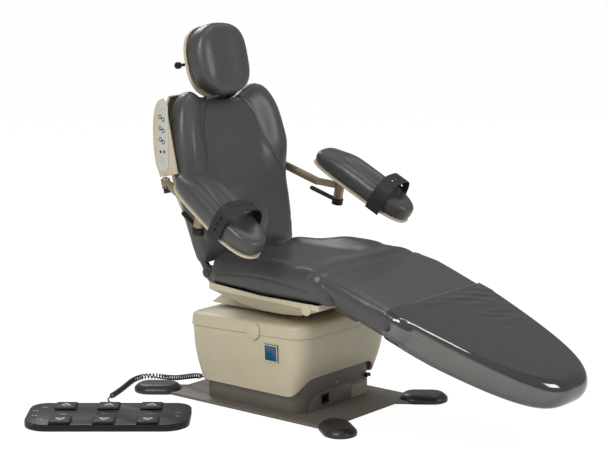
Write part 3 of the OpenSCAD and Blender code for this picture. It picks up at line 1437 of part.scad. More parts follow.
arm_stem(1);  // arm_stem_left
arm_stem(-1);  // arm_stem_right
arm_pan(1);  // arm_pan_left
arm_pan(-1);  // arm_pan_right
arm_pad(1);  // arm_pad_left
arm_pad(-1);  // arm_pad_right
arm_strap(1);  // arm_strap_left
arm_strap(-1);  // arm_strap_right
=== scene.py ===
import math

import bmesh
import bpy
import numpy as np
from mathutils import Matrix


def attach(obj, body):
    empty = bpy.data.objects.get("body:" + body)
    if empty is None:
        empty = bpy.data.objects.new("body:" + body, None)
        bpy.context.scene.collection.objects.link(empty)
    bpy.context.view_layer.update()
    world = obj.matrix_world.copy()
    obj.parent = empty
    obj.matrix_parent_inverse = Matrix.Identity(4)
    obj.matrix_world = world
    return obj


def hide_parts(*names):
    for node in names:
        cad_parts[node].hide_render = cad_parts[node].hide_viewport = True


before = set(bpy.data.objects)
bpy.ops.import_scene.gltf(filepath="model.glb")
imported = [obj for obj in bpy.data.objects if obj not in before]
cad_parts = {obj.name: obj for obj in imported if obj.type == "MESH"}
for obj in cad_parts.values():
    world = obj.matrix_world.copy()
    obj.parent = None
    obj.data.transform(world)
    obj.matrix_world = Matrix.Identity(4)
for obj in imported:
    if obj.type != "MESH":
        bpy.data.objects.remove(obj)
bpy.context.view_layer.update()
print("stage: frame loaded")


# Places: matrices that put a piece's own frame into the row frame, all in metres
def turnAbout(axis, degrees):
    matrix = np.eye(4)
    c, s = math.cos(math.radians(degrees)), math.sin(math.radians(degrees))
    i, j = {"x": (1, 2), "y": (2, 0), "z": (0, 1)}[axis]
    matrix[i, i] = matrix[j, j] = c
    matrix[i, j], matrix[j, i] = -s, s
    return matrix


def moveBy(x, y, z):
    matrix = np.eye(4)
    matrix[:3, 3] = x, y, z
    return matrix


def placed(points, matrix):
    return np.asarray(points) @ matrix[:3, :3].T + matrix[:3, 3]


chair = {
    "seatHalf": 0.268, "seatRearY": 0.148, "seatFloor": 0.402, "seatMiddle": 0.484, "bolsterTop": 0.516,
    "legPivot": (0, -0.285, 0.390), "legSlope": 19.5, "legTop": 0.119, "legCrown": 0.011, "legLow": 0.036,
    "legLength": 0.826, "backPivot": (0, 0.182, 0.430), "backLean": 13, "backHalf": 0.270,
    "headUp": 0.688, "headY": -0.041, "post": (0.359, -0.139, 0.146), "postLean": 23, "jointUp": 0.080,
    "boardSplay": 8, "boardSlope": 20, "shroudSideY": -0.047,
}
backFrame = moveBy(*chair["backPivot"]) @ turnAbout("x", -chair["backLean"])
legFrame = moveBy(*chair["legPivot"]) @ turnAbout("x", chair["legSlope"])
mirrorX = np.diag([-1.0, 1, 1, 1])


# The same place on the sitter's left (side 1) or right (side -1).
def sideFrame(side, matrix):
    return matrix if side > 0 else mirrorX @ matrix


postFrame = backFrame @ moveBy(*chair["post"]) @ turnAbout("x", chair["postLean"])
boardFrame = (postFrame @ moveBy(0, 0, chair["jointUp"]) @ turnAbout("z", chair["boardSplay"])
              @ turnAbout("x", chair["boardSlope"]))


# Meshes from numpy grids
def newMesh(name, vertices, faces, smooth=True):
    mesh = bpy.data.meshes.new(name)
    mesh.from_pydata(np.asarray(vertices).tolist(), [], faces)
    mesh.update()
    piece = bpy.data.objects.new(name, mesh)
    bpy.context.scene.collection.objects.link(piece)
    if smooth:
        mesh.polygons.foreach_set("use_smooth", [True] * len(mesh.polygons))
    return piece


def gridFaces(rows, columns, closeRows, closeColumns, first=0):
    r = np.arange(rows if closeRows else rows - 1)[:, None]
    c = np.arange(columns if closeColumns else columns - 1)[None, :]
    corners = [(r, c), (r, c + 1), (r + 1, c + 1), (r + 1, c)]
    faces = np.stack([((a % rows) * columns + b % columns) + np.zeros_like(r + c) for a, b in corners], -1)
    return (faces.reshape(-1, 4) + first).tolist()


# rings is (rows, columns, 3). Rows are joined in order; each end row is capped by one face.
def loft(name, rings, matrix=np.eye(4), caps=True, closeRows=False, closeColumns=True, smooth=True):
    rings = np.asarray(rings, float)
    rows, columns = rings.shape[:2]
    faces = gridFaces(rows, columns, closeRows, closeColumns)
    if caps and not closeRows:
        faces += [list(range(columns))[::-1], list(range((rows - 1) * columns, rows * columns))]
    piece = newMesh(name, placed(rings.reshape(-1, 3), matrix), faces, smooth)
    outwards(piece)
    return piece


def outwards(piece):
    work = bmesh.new()
    work.from_mesh(piece.data)
    bmesh.ops.remove_doubles(work, verts=work.verts, dist=1e-6)
    bmesh.ops.recalc_face_normals(work, faces=work.faces)
    work.to_mesh(piece.data)
    work.free()


# Puts the modifiers' result into the mesh.
def bake(piece):
    bpy.context.view_layer.update()
    mesh = bpy.data.meshes.new_from_object(piece.evaluated_get(bpy.context.evaluated_depsgraph_get()))
    piece.modifiers.clear()
    piece.data = mesh
    mesh.polygons.foreach_set("use_smooth", [True] * len(mesh.polygons))


# One object out of several meshes.
def joined(name, pieces):
    work = bmesh.new()
    for piece in pieces:
        work.from_mesh(piece.data)
        bpy.data.objects.remove(piece)
    mesh = bpy.data.meshes.new(name)
    work.to_mesh(mesh)
    work.free()
    result = bpy.data.objects.new(name, mesh)
    bpy.context.scene.collection.objects.link(result)
    return result


def corners(piece):
    flat = np.empty(len(piece.data.vertices) * 3)
    piece.data.vertices.foreach_get("co", flat)
    return flat.reshape(-1, 3)


def setCorners(piece, points):
    piece.data.vertices.foreach_set("co", np.ascontiguousarray(points, float).ravel())
    piece.data.update()


# A CAD node with its sharp edges rounded: a copy, merged, its flat faces joined, then bevelled.
def softened(node, width, angle=32, smoothAngle=40):
    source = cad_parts[node]
    work = bmesh.new()
    work.from_mesh(source.data)
    bmesh.ops.remove_doubles(work, verts=work.verts, dist=2e-5)
    bmesh.ops.dissolve_limit(work, angle_limit=math.radians(1), verts=work.verts, edges=work.edges)
    mesh = bpy.data.meshes.new(node)
    work.to_mesh(mesh)
    work.free()
    piece = bpy.data.objects.new(node + "_part", mesh)
    bpy.context.scene.collection.objects.link(piece)
    edge = piece.modifiers.new("edge", "BEVEL")
    edge.width, edge.segments, edge.limit_method = width, 2, "ANGLE"
    edge.angle_limit = math.radians(angle)
    bake(piece)
    sharpenAt(piece, smoothAngle)
    return piece


def sharpenAt(piece, degrees):
    work = bmesh.new()
    work.from_mesh(piece.data)
    limit = math.radians(degrees)
    for edge in work.edges:
        edge.smooth = len(edge.link_faces) == 2 and edge.calc_face_angle(0) < limit
    work.to_mesh(piece.data)
    work.free()


# Gives a piece its material and body, and hides the CAD nodes that it stands for.
def dress(piece, material, body, slot, *nodes):
    piece.data.materials.clear()
    piece.data.materials.append(material)
    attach(piece, body)
    if nodes:
        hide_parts(*nodes)
    return piece


def smoothStep(low, high, value):
    u = np.clip((value - low) / (high - low), 0, 1)
    return u * u * (3 - 2 * u)


def bump(value, middle, width):
    u = np.minimum(1, np.abs(value - middle) / width)
    return (1 - u * u) ** 2


def power(value, exponent):
    return np.sign(value) * np.abs(value) ** exponent


# Materials
# sRGB hex to linear RGBA.
def linear(hexColour, alpha=1.0):
    channels = [int(hexColour[i:i + 2], 16) / 255 for i in (0, 2, 4)]
    return [c / 12.92 if c <= 0.04045 else ((c + 0.055) / 1.055) ** 2.4 for c in channels] + [alpha]


# Adds a node, sets its properties and socket values, and links outputs into its inputs.
def addNode(material, kind, settings=None, links=None, values=None):
    node = material.node_tree.nodes.new(kind)
    for key, value in (settings or {}).items():
        setattr(node, key, value)
    for key, value in (values or {}).items():
        node.inputs[key].default_value = value
    for key, source in (links or {}).items():
        material.node_tree.links.new(source, node.inputs[key])
    return node


# Surface with a fine grain of that size in metres, a mottle of its colour over mottle metres, and rubbed
# edges. The grain gives bump and a little roughness; colour runs from darker to colour.
def grainMaterial(name, colour, darker, roughness, grain, depth, speckle=0.5, metallic=0.0, wear=0.0,
                  roughSpread=0.08, detail=6.0, mottle=0.12, **sockets):
    material = bpy.data.materials.new(name)
    material.use_nodes = True
    shader = material.node_tree.nodes["Principled BSDF"]
    place = addNode(material, "ShaderNodeTexCoord").outputs["Object"]
    broad = addNode(material, "ShaderNodeTexNoise", links={"Vector": place},
                    values={"Scale": 1 / mottle, "Detail": 4.0, "Roughness": 0.6})
    tint = addNode(material, "ShaderNodeMix", {"data_type": "RGBA"},
                   values={"A": linear(darker), "B": linear(colour)})
    spread = addNode(material, "ShaderNodeMapRange", links={"Value": broad.outputs["Fac"]},
                     values={"From Min": 0.5 - speckle / 2, "From Max": 0.5 + speckle / 2})
    material.node_tree.links.new(spread.outputs["Result"], tint.inputs["Factor"])
    result = tint.outputs["Result"]
    if wear:
        edge = addNode(material, "ShaderNodeNewGeometry").outputs["Pointiness"]
        rubbed = addNode(material, "ShaderNodeMapRange", links={"Value": edge},
                         values={"From Min": 0.52, "From Max": 0.60, "To Max": wear})
        lighter = addNode(material, "ShaderNodeMix", {"data_type": "RGBA"},
                          links={"A": result, "Factor": rubbed.outputs["Result"]},
                          values={"B": [min(1, c * 1.9 + 0.02) for c in linear(colour)[:3]] + [1]})
        result = lighter.outputs["Result"]
    material.node_tree.links.new(result, shader.inputs["Base Color"])
    fine = addNode(material, "ShaderNodeTexNoise", links={"Vector": place},
                   values={"Scale": 1 / grain, "Detail": detail, "Roughness": 0.55})
    rough = addNode(material, "ShaderNodeMapRange", links={"Value": fine.outputs["Fac"]},
                    values={"From Min": 0.3, "From Max": 0.7, "To Min": roughness - roughSpread,
                            "To Max": roughness + roughSpread})
    material.node_tree.links.new(rough.outputs["Result"], shader.inputs["Roughness"])
    relief = addNode(material, "ShaderNodeBump", links={"Height": fine.outputs["Fac"]},
                     values={"Strength": 0.5, "Distance": depth})
    material.node_tree.links.new(relief.outputs["Normal"], shader.inputs["Normal"])
    shader.inputs["Metallic"].default_value = metallic
    for key, value in sockets.items():
        shader.inputs[key.replace("_", " ")].default_value = value
    return material


# Small printed or moulded marks: one colour with a faint unevenness.
def plainMaterial(name, colour, roughness, metallic=0.0, **sockets):
    return grainMaterial(name, colour, colour, roughness, 0.0015, 0.00002, metallic=metallic,
                         roughSpread=0.03, **sockets)


# Coated vinyl upholstery: satin, a leather-like grain of about 1 mm, painted shade darker where a seam is pressed
# in
def upholsteryMaterial():
    material = grainMaterial("coatedVinyl", "434445", "3b3c3d", 0.38, 0.0011, 0.00005, speckle=0.6,
                             roughSpread=0.05, mottle=0.16, IOR=1.5, Specular_IOR_Level=0.5,
                             Coat_Weight=0.12, Coat_Roughness=0.28)
    tree = material.node_tree
    shader = tree.nodes["Principled BSDF"]
    # painted shade: the crease attribute mixes the colour towards near black along pressed-in seams
    creaseShade = addNode(material, "ShaderNodeAttribute", {"attribute_name": "creaseShade"}).outputs["Fac"]
    shade = addNode(material, "ShaderNodeMix", {"data_type": "RGBA"},
                    links={"A": shader.inputs["Base Color"].links[0].from_socket, "Factor": creaseShade},
                    values={"B": linear("1d1d1e")})
    tree.links.new(shade.outputs["Result"], shader.inputs["Base Color"])
    return material


# Clear PVC film over the foot end: water-clear, so mostly gloss over what lies below; its dark tint is painted
# shade
def clearFilmMaterial(name="clearPvcFilm", colour="353637"):
    material = grainMaterial(name, colour, colour, 0.06, 0.03, 0.0004, roughSpread=0.02, detail=2.0,
                             IOR=1.9, Specular_IOR_Level=1.0, Coat_Weight=1.0, Coat_Roughness=0.03)
    tree = material.node_tree
    # painted shade and gloss: the Fresnel raises the alpha at grazing angles, showing more dark tint and more
    # gloss
    facing = addNode(material, "ShaderNodeFresnel", values={"IOR": 1.5})
    glossAndShade = addNode(material, "ShaderNodeMapRange", links={"Value": facing.outputs["Fac"]},
                    values={"From Min": 0.03, "From Max": 0.35, "To Min": 0.42, "To Max": 0.92})
    tree.links.new(glossAndShade.outputs["Result"], tree.nodes["Principled BSDF"].inputs["Alpha"])
    return material


# Each is named for what the real one is made of
materials = {
    "vinyl": upholsteryMaterial(),
    "clearFilm": clearFilmMaterial(),
    # Thermoformed ABS in warm cream: low sheen, very fine leather-like texture from the mould
    "creamAbs": grainMaterial("creamAbs", "bdb49e", "b3aa94", 0.42, 0.0009, 0.00004, speckle=0.7, wear=0.05,
                              IOR=1.52, Coat_Weight=0.1, Coat_Roughness=0.35),
    # Powder-coated steel plate: warm dark grey, orange-peel of about 1.5 mm
    "darkPowderCoat": grainMaterial("darkPowderCoat", "68635d", "5c5852", 0.48, 0.0016, 0.00012, speckle=0.8,
                                    wear=0.12, roughSpread=0.1, IOR=1.5),
    # Satin injection-moulded ABS in black
    "blackAbs": grainMaterial("blackAbs", "161617", "111112", 0.42, 0.0008, 0.00004, speckle=0.7, IOR=1.5,
                              Specular_IOR_Level=0.35),
    # Moulded rubber: black, a little dusty, soft highlight
    "footRubber": grainMaterial("footRubber", "262524", "1c1b1a", 0.40, 0.0013, 0.00006, speckle=0.9,
                                roughSpread=0.1, IOR=1.52, Coat_Weight=0.25, Coat_Roughness=0.25),
    "strapRubber": grainMaterial("strapRubber", "222223", "1b1b1c", 0.62, 0.0007, 0.00005, IOR=1.5),
    # PVC-jacketed cord: grey-black with a soft gloss
    "cordJacket": grainMaterial("cordJacket", "232629", "1b1d20", 0.38, 0.0012, 0.00003, IOR=1.52),
    # Metallic lacquer on steel tube: bronze-brown flake
    "bronzeLacquer": grainMaterial("bronzeLacquer", "8f806c", "7d6f5c", 0.34, 0.0006, 0.00002, speckle=0.9,
                                   metallic=0.55, wear=0.08, Coat_Weight=0.4, Coat_Roughness=0.2),
    "chrome": grainMaterial("polishedChrome", "d9dadb", "cfd0d2", 0.14, 0.002, 0.00001, metallic=1.0,
                            roughSpread=0.05),
    "groundSteel": grainMaterial("groundSteel", "b4b6b8", "a5a7a9", 0.3, 0.0012, 0.00003, metallic=1.0,
                                 speckle=0.8),
    "frameEnamel": grainMaterial("frameEnamel", "4a4b4d", "424345", 0.42, 0.0018, 0.00008, wear=0.2, IOR=1.5),
    "motorEnamel": grainMaterial("motorEnamel", "3a3d41", "2e3033", 0.45, 0.004, 0.0003, speckle=0.9, IOR=1.5),
    "badgeBlue": plainMaterial("badgeBlueAcrylic", "134b6c", 0.25, Coat_Weight=0.2, Coat_Roughness=0.1),
    "badgeBorder": plainMaterial("badgeBorderInk", "d9d2bd", 0.3),
    # Polyester film of the keypad, with a pale print
    "membrane": grainMaterial("keypadMembrane", "b9bdb6", "afb3ac", 0.35, 0.0005, 0.00003, speckle=0.6),
    "inkNavy": plainMaterial("inkNavy", "25405f", 0.4),
    "inkYellow": plainMaterial("inkYellow", "c9b54a", 0.45),
    "inkRed": plainMaterial("inkRed", "a8383c", 0.35),
    "inkGrey": plainMaterial("inkGrey", "8b938f", 0.45),
    "inkWhite": plainMaterial("inkWhite", "d8d8d4", 0.45),
    "inkPink": plainMaterial("inkPink", "a8646a", 0.45),
    "darkGap": plainMaterial("darkGap", "0c0c0c", 0.7),
}
print("stage: materials")

# Camera, floor and light
view = {"place": (-4.6205, -3.7872, 1.6829), "down": 10.61, "turn": 51.12, "lens": 109.36}
cameraData = bpy.data.cameras.new("camera")
cameraData.lens, cameraData.sensor_width = view["lens"], 36
camera = bpy.data.objects.new("camera", cameraData)
camera.location = view["place"]
camera.rotation_euler = (math.radians(90 - view["down"]), 0, -math.radians(view["turn"]))
bpy.context.scene.collection.objects.link(camera)
bpy.context.scene.camera = camera

studio = {"floorHalf": 30.0, "worldStrength": 0.55, "glossStrength": 0.30, "floorLift": 0.80, "floorGlow": 1.12}
floor = newMesh("studioFloor", [(-1, -1, 0), (1, -1, 0), (1, 1, 0), (-1, 1, 0)], [[0, 1, 2, 3]], smooth=False)
setCorners(floor, corners(floor) * studio["floorHalf"])
floorPaint = bpy.data.materials.new("paleFloor")
floorPaint.use_nodes = True
floorShader = floorPaint.node_tree.nodes["Principled BSDF"]
floorShader.inputs["Base Color"].default_value = linear("f4f4f2")
floorShader.inputs["Roughness"].default_value = 0.9
seen = addNode(floorPaint, "ShaderNodeLightPath").outputs["Is Camera Ray"]
lift = addNode(floorPaint, "ShaderNodeMath", {"operation": "MULTIPLY"}, links={0: seen},
               values={1: studio["floorLift"]})
white = addNode(floorPaint, "ShaderNodeEmission", values={"Strength": studio["floorGlow"]})
blendIn = addNode(floorPaint, "ShaderNodeMixShader", links={
    0: lift.outputs[0], 1: floorShader.outputs[0], 2: white.outputs[0]})
floorPaint.node_tree.links.new(blendIn.outputs[0], floorPaint.node_tree.nodes["Material Output"].inputs[0])
floor.data.materials.append(floorPaint)

world = bpy.data.worlds.new("studioWorld")
bpy.context.scene.world = world
world.use_nodes = True
backdrop = world.node_tree.nodes["Background"]
rays = addNode(world, "ShaderNodeLightPath")
shown = addNode(world, "ShaderNodeMath", {"operation": "MAXIMUM"}, links={
    0: rays.outputs["Is Camera Ray"], 1: rays.outputs["Is Transmission Ray"]})
mirrored = addNode(world, "ShaderNodeMapRange", links={"Value": rays.outputs["Is Glossy Ray"]},
                   values={"To Min": studio["worldStrength"], "To Max": studio["glossStrength"]})
strength = addNode(world, "ShaderNodeMapRange", links={
    "Value": shown.outputs[0], "To Min": mirrored.outputs["Result"]}, values={"To Max": 1.0})
world.node_tree.links.new(strength.outputs["Result"], backdrop.inputs["Strength"])
backdrop.inputs["Color"].default_value = (1, 1, 1, 1)


def softBox(name, place, target, size, watts, tint="ffffff"):
    data = bpy.data.lights.new(name, "AREA")
    data.shape, data.size, data.size_y = "RECTANGLE", size[0], size[1]
    data.energy, data.color = watts, linear(tint)[:3]
    lamp = bpy.data.objects.new(name, data)
    bpy.context.scene.collection.objects.link(lamp)
    lamp.location = place
    away = np.array(place) - np.array(target)
    lamp.rotation_euler = (math.acos(away[2] / np.linalg.norm(away)), 0, math.atan2(away[0], -away[1]))


softBox("keyBox", (-3.4, -0.6, 3.4), (0, -0.1, 0.6), (1.8, 2.4), 104, "fffaf2")
softBox("frontBox", (0.6, -4.2, 2.2), (0, -0.4, 0.5), (2.2, 1.2), 52)
softBox("rimBox", (1.6, 3.2, 3.4), (0, -0.1, 0.6), (1.6, 1.4), 56)
softBox("topStrip", (0.87, -0.4, 3.3), (0.1, -0.6, 0.4), (0.4, 2.6), 12)
bpy.context.scene.view_settings.view_transform = "Standard"
print("stage: camera and light")

# The foot control's cord, from the gland on the skirt to the foot control's rear edge, in metres
cordShape = {
    "wire": 0.005, "curlRadius": 0.007, "curls": 48, "ringsPerCurl": 16, "sides": 10, "straightEnd": 0.010,
    "route": [(-0.150, 0.246, 0.054), (-0.149, 0.262, 0.054), (-0.144, 0.295, 0.049), (-0.135, 0.342, 0.036),
              (-0.124, 0.400, 0.020), (-0.118, 0.450, 0.012), (-0.126, 0.500, 0.010), (-0.160, 0.526, 0.010),
              (-0.210, 0.520, 0.010), (-0.260, 0.498, 0.010), (-0.310, 0.474, 0.010), (-0.360, 0.452, 0.010),
              (-0.396, 0.438, 0.010), (-0.420, 0.428, 0.010)],
    "lead": [(-0.420, 0.428, 0.010), (-0.430, 0.423, 0.010), (-0.441, 0.414, 0.0095), (-0.450, 0.402, 0.009),
             (-0.456, 0.388, 0.009), (-0.461, 0.374, 0.0095), (-0.468, 0.362, 0.010), (-0.477, 0.355, 0.010),
             (-0.486, 0.348, 0.010)],
}


# Catmull-Rom curve through the points, count samples evenly spaced in the parameter.
def throughPoints(points, count):
    points = np.array(points)
    padded = np.vstack([2 * points[0] - points[1], points, 2 * points[-1] - points[-2]])
    v = np.linspace(0, len(points) - 1, count)
    i = np.minimum(v.astype(int), len(points) - 2)
    u = (v - i)[:, None]
    a, b, c, d = (padded[i + k] for k in range(4))
    return 0.5 * (2 * b + (c - a) * u + (2 * a - 5 * b + 4 * c - d) * u**2 + (3 * b - a - 3 * c + d) * u**3)


def alongLine(line, distances):
    steps = np.linalg.norm(np.diff(line, axis=0), axis=1)
    reached = np.concatenate([[0], np.cumsum(steps)])
    return np.stack([np.interp(distances, reached, line[:, k]) for k in range(3)], -1), reached[-1]


# Two unit vectors across the line at each point, the first kept level.
def sidesOf(line):
    tangent = np.gradient(line, axis=0)
    tangent /= np.linalg.norm(tangent, axis=1, keepdims=True)
    level = np.cross(tangent, np.where(np.abs(tangent[:, 2:]) > 0.9, [[1.0, 0, 0]], [[0, 0, 1.0]]))
    level /= np.linalg.norm(level, axis=1, keepdims=True)
    return level, np.cross(tangent, level)


# A round tube: centre line plus radius * (cos a, sin a) in the line's two side directions.
def tube(name, line, radius, sides):
    line = np.asarray(line)
    level, upward = sidesOf(line)
    a = np.linspace(0, 2 * np.pi, sides, endpoint=False)[None, :, None]
    return loft(name, line[:, None] + radius * (np.cos(a) * level[:, None] + np.sin(a) * upward[:, None]))


# The wire's centre: the route plus a turning offset, curlRadius * (cos t, sin t) in its side directions.
def curlyLine(shape):
    route = throughPoints(shape["route"], 2000)
    total = alongLine(route, [0])[1]
    count = shape["curls"] * shape["ringsPerCurl"]
    share = np.arange(count + 1) / count
    distance = shape["straightEnd"] + (total - 2 * shape["straightEnd"]) * share
    middle = alongLine(route, distance)[0]
    ahead = alongLine(route, np.minimum(distance + 0.002, total))[0]
    behind = alongLine(route, np.maximum(distance - 0.002, 0))[0]
    tangent = ahead - behind
    tangent /= np.linalg.norm(tangent, axis=1, keepdims=True)
    level = np.cross(tangent, [0, 0, 1.0])
    level /= np.linalg.norm(level, axis=1, keepdims=True)
    upward = np.cross(tangent, level)
    turn = 2 * np.pi * np.arange(count + 1) / shape["ringsPerCurl"]
    ramp = smoothStep(0, shape["ringsPerCurl"], np.arange(count + 1)) * smoothStep(
        0, shape["ringsPerCurl"], count - np.arange(count + 1))
    outward = np.cos(turn)[:, None] * level + np.sin(turn)[:, None] * upward
    curls = middle + shape["curlRadius"] * ramp[:, None] * outward
    first = alongLine(route, [0, shape["straightEnd"] / 2])[0]
    last = alongLine(route, [total - shape["straightEnd"] / 2])[0]
    return np.vstack([first, curls, last, throughPoints(shape["lead"], 60)])


wireLine = curlyLine(cordShape)
footCord = tube("foot_control_cord", wireLine, cordShape["wire"] / 2, cordShape["sides"])
dress(footCord, materials["cordJacket"], "base", "black_rubber", "curly_cord", "cord_lead")


# Padded pieces
# How far the surface falls near a long edge: a quarter circle of that radius.
def edgeDrop(x, half, radius):
    c = np.clip((np.abs(x) - (half - radius)) / radius, 0, 1)
    return radius * (1 - np.sqrt(np.maximum(0, 1 - c * c)))


# Places across a cushion, close together where its edge turns down.
def crossStations(half, radius, inner=26, outer=12):
    a = np.linspace(0, np.pi / 2, outer + 1)[1:]
    edge = half - radius + radius * np.sin(a)
    middle = np.linspace(-(half - radius), half - radius, inner)
    return np.concatenate([-edge[::-1], middle, edge])


padding = {"frames": 20, "pressure": 4.0, "stiffness": 18, "quality": 4, "evenPasses": 10, "calmPasses": 6}


# Moves every point halfway to the middle of its neighbours, passes times.
def relax(piece, passes):
    smooth = piece.modifiers.new("relax", "SMOOTH")
    smooth.factor, smooth.iterations = 0.5, passes
    bake(piece)


# Remeshes a closed form into even cloth, lets Blender's Cloth swell it for some frames, and keeps every point
# within cap metres of where it began.
def puffUp(piece, voxel, cap):
    remesh = piece.modifiers.new("even", "REMESH")
    remesh.mode, remesh.voxel_size = "VOXEL", voxel
    bake(piece)
    relax(piece, padding["evenPasses"])
    start = corners(piece)
    cloth = piece.modifiers.new("padding", "CLOTH")
    cloth.settings.use_pressure = True
    cloth.settings.uniform_pressure_force = padding["pressure"]
    cloth.settings.quality = padding["quality"]
    cloth.settings.tension_stiffness = cloth.settings.compression_stiffness = padding["stiffness"]
    cloth.settings.effector_weights.gravity = 0
    cloth.point_cache.frame_start, cloth.point_cache.frame_end = 1, padding["frames"]
    for step in range(padding["frames"]):
        bpy.context.scene.frame_set(step + 1)
    bake(piece)
    bpy.context.scene.frame_set(1)
    moved = corners(piece) - start
    length = np.linalg.norm(moved, axis=1, keepdims=True)
    setCorners(piece, start + moved * np.minimum(1, cap / np.maximum(length, 1e-9)))
    relax(piece, padding["calmPasses"])
    finer = piece.modifiers.new("finer", "SUBSURF")
    finer.levels = finer.render_levels = 1
    bake(piece)


# Least distance from each point to a chain of straight pieces.
def distanceTo(points, line):
    line = np.asarray(line, float)
    best = np.full(len(points), np.inf)
    for a, b in zip(line[:-1], line[1:]):
        d = b - a
        u = np.clip(((points - a) @ d) / (d @ d), 0, 1)
        best = np.minimum(best, np.linalg.norm(points - a - u[:, None] * d, axis=1))
    return best


seamLook = {"creaseShade": 0.75, "creaseShadeShare": 0.55, "narrow": 0.01}


# Each seam sinks the surface by depth * exp(-(distance / width)^2) and, when narrow, marks painted shade in its
# crease for the material. With over, a matrix, the seams are lines in that frame's X and Z, and only faces
# towards its -Y are pressed.
def pressSeams(piece, seams, depth, width, over=None):
    points = corners(piece)
    normals = np.empty(len(points) * 3)
    piece.data.vertices.foreach_get("normal", normals)
    normals = normals.reshape(-1, 3)
    sink = np.zeros(len(points))
    creaseShade = np.zeros(len(points))
    flat, facing = points, np.ones(len(points))
    if over is not None:
        flat = placed(points, np.linalg.inv(over)) * [1, 0, 1]
        facing = smoothStep(0.1, 0.4, -(normals @ over[:3, :3])[:, 1])
    for seam in seams:
        gap = distanceTo(flat, seam)
        sink = np.maximum(sink, facing * depth * np.exp(-(gap / width) ** 2))
        # painted shade: narrow seams also mark their crease for the vinyl material to darken
        if width < seamLook["narrow"]:
            line = np.exp(-(gap / (seamLook["creaseShadeShare"] * width)) ** 2)
            creaseShade = np.maximum(creaseShade, facing * seamLook["creaseShade"] * line)
    setCorners(piece, points - normals * sink[:, None])
    mark = piece.data.attributes.get("creaseShade") or piece.data.attributes.new("creaseShade", "FLOAT", "POINT")
    former = np.zeros(len(points))
    mark.data.foreach_get("value", former)
    mark.data.foreach_set("value", np.maximum(former, creaseShade))


# Seat: a dish between two bolsters, whose front end is round about the leg pivot
seat = {"edge": 0.034, "bolsterAt": 0.222, "bolsterWide": 0.052, "frontRadius": 0.1158, "rise": (-0.14, -0.285),
        "fall": (-0.09, 0.09), "fallDepth": 0.024, "cornerIn": 0.026, "rearRound": 0.012, "parting": 0.1164,
        "partingGap": 0.0005, "tuck": 0.006, "tuckFrom": (48, 66), "underRise": 0.013, "under": (-0.1, 0.22),
        "armFrom": (0.105, 0.122), "armTo": (0.174, 0.190), "armRoof": 0.014, "armSlope": 0.22,
        "voxel": 0.0068, "cap": 0.004, "fill": 0.7}
# Its marks: wrinkles in the side gusset, the dip that sitters leave, and the seams inside the bolsters, along
# the sides and up the front corners
seatMarks = {"gusset": (0.225, 0.262), "gussetUp": (0.40, 0.43), "foldsAt": -0.325, "foldsReach": 0.075,
             "foldPitch": 0.0042, "foldWaver": 0.021, "foldIn": 0.0030, "foldDepth": 0.0012,
             "wornAt": -0.05, "wornReach": 0.22, "wornHalf": 0.2, "wornAbove": 0.46, "wornDepth": 0.003,
             "innerX": 0.196, "innerBow": 0.012, "innerFront": -0.27, "innerLong": 0.36, "sideX": 0.2635,
             "sideY": (-0.29, 0.1), "sideZ": 0.43, "sideBow": 0.03, "frontX": 0.2655, "frontY": -0.291,
             "frontZ": (0.405, 0.475), "seamDepth": 0.0016, "seamWidth": 0.003}


def seatTop(x, y):
    rise = smoothStep(*seat["rise"], y)
    middle, out = chair["seatMiddle"], np.abs(x)
    bolster = (chair["bolsterTop"] - middle) * bump(out, seat["bolsterAt"], 1.6 * seat["bolsterWide"])
    frontZ = chair["legPivot"][2] + seat["frontRadius"]
    inner = seat["bolsterAt"] - seat["bolsterWide"]
    fall = smoothStep(*seat["fall"], y) * smoothStep(inner, seat["bolsterAt"], out)
    return middle + (frontZ - middle) * rise + bolster * (1 - rise) - seat["fallDepth"] * fall


# Radius about the leg pivot that parts the seat's round front from the leg section, at each place across.
def partingRadius(x):
    half = chair["seatHalf"]
    return seat["parting"] - edgeDrop(np.clip(x, -half, half), half, seat["edge"])


# The round front tucks in low down, where the leg section's frame swings past it.
def tuckBelow(angle):
    return seat["tuck"] * smoothStep(*seat["tuckFrom"], np.degrees(angle))


# Side view at x: underside, quarter circle about the leg pivot, top along seatTop, round rear end.
def seatRing(x):
    drop = float(edgeDrop(x, chair["seatHalf"], seat["edge"]))
    pivotY, pivotZ = chair["legPivot"][1:]
    rear = chair["seatRearY"] - seat["cornerIn"] * float(smoothStep(0.2, 0.262, abs(x))) - drop / 3
    radius = seat["frontRadius"] - drop
    low = chair["seatFloor"] + 0.001 + 0.3 * drop
    sweep = np.linspace(math.acos((low - pivotZ) / radius), 0, 18)
    bow = radius - tuckBelow(sweep)
    frontY, frontZ = pivotY - bow * np.sin(sweep), pivotZ + bow * np.cos(sweep)
    y = np.linspace(pivotY + 0.012, rear - seat["rearRound"] - 0.002, 34)
    z = seatTop(x, y) - drop
    endZ = float(z[-1])
    rearLow = low + 0.014
    turn = np.linspace(np.pi / 2, -np.pi / 2, 13)[1:]
    middle, half = (endZ + rearLow) / 2, (endZ - rearLow) / 2
    endY = rear - seat["rearRound"] * (1 - power(np.cos(turn), 0.5))
    endRingZ = middle + half * power(np.sin(turn), 0.7)
    under = np.linspace(rear - seat["rearRound"], pivotY + 0.04, 16)[1:]
    underZ = low + seat["underRise"] * np.maximum(0, under - seat["under"][0]) / seat["under"][1]
    ringY = np.concatenate([frontY, y, endY, under])
    return np.stack([np.full(len(ringY), x), ringY, np.concatenate([frontZ, z, endRingZ, underZ])], -1)


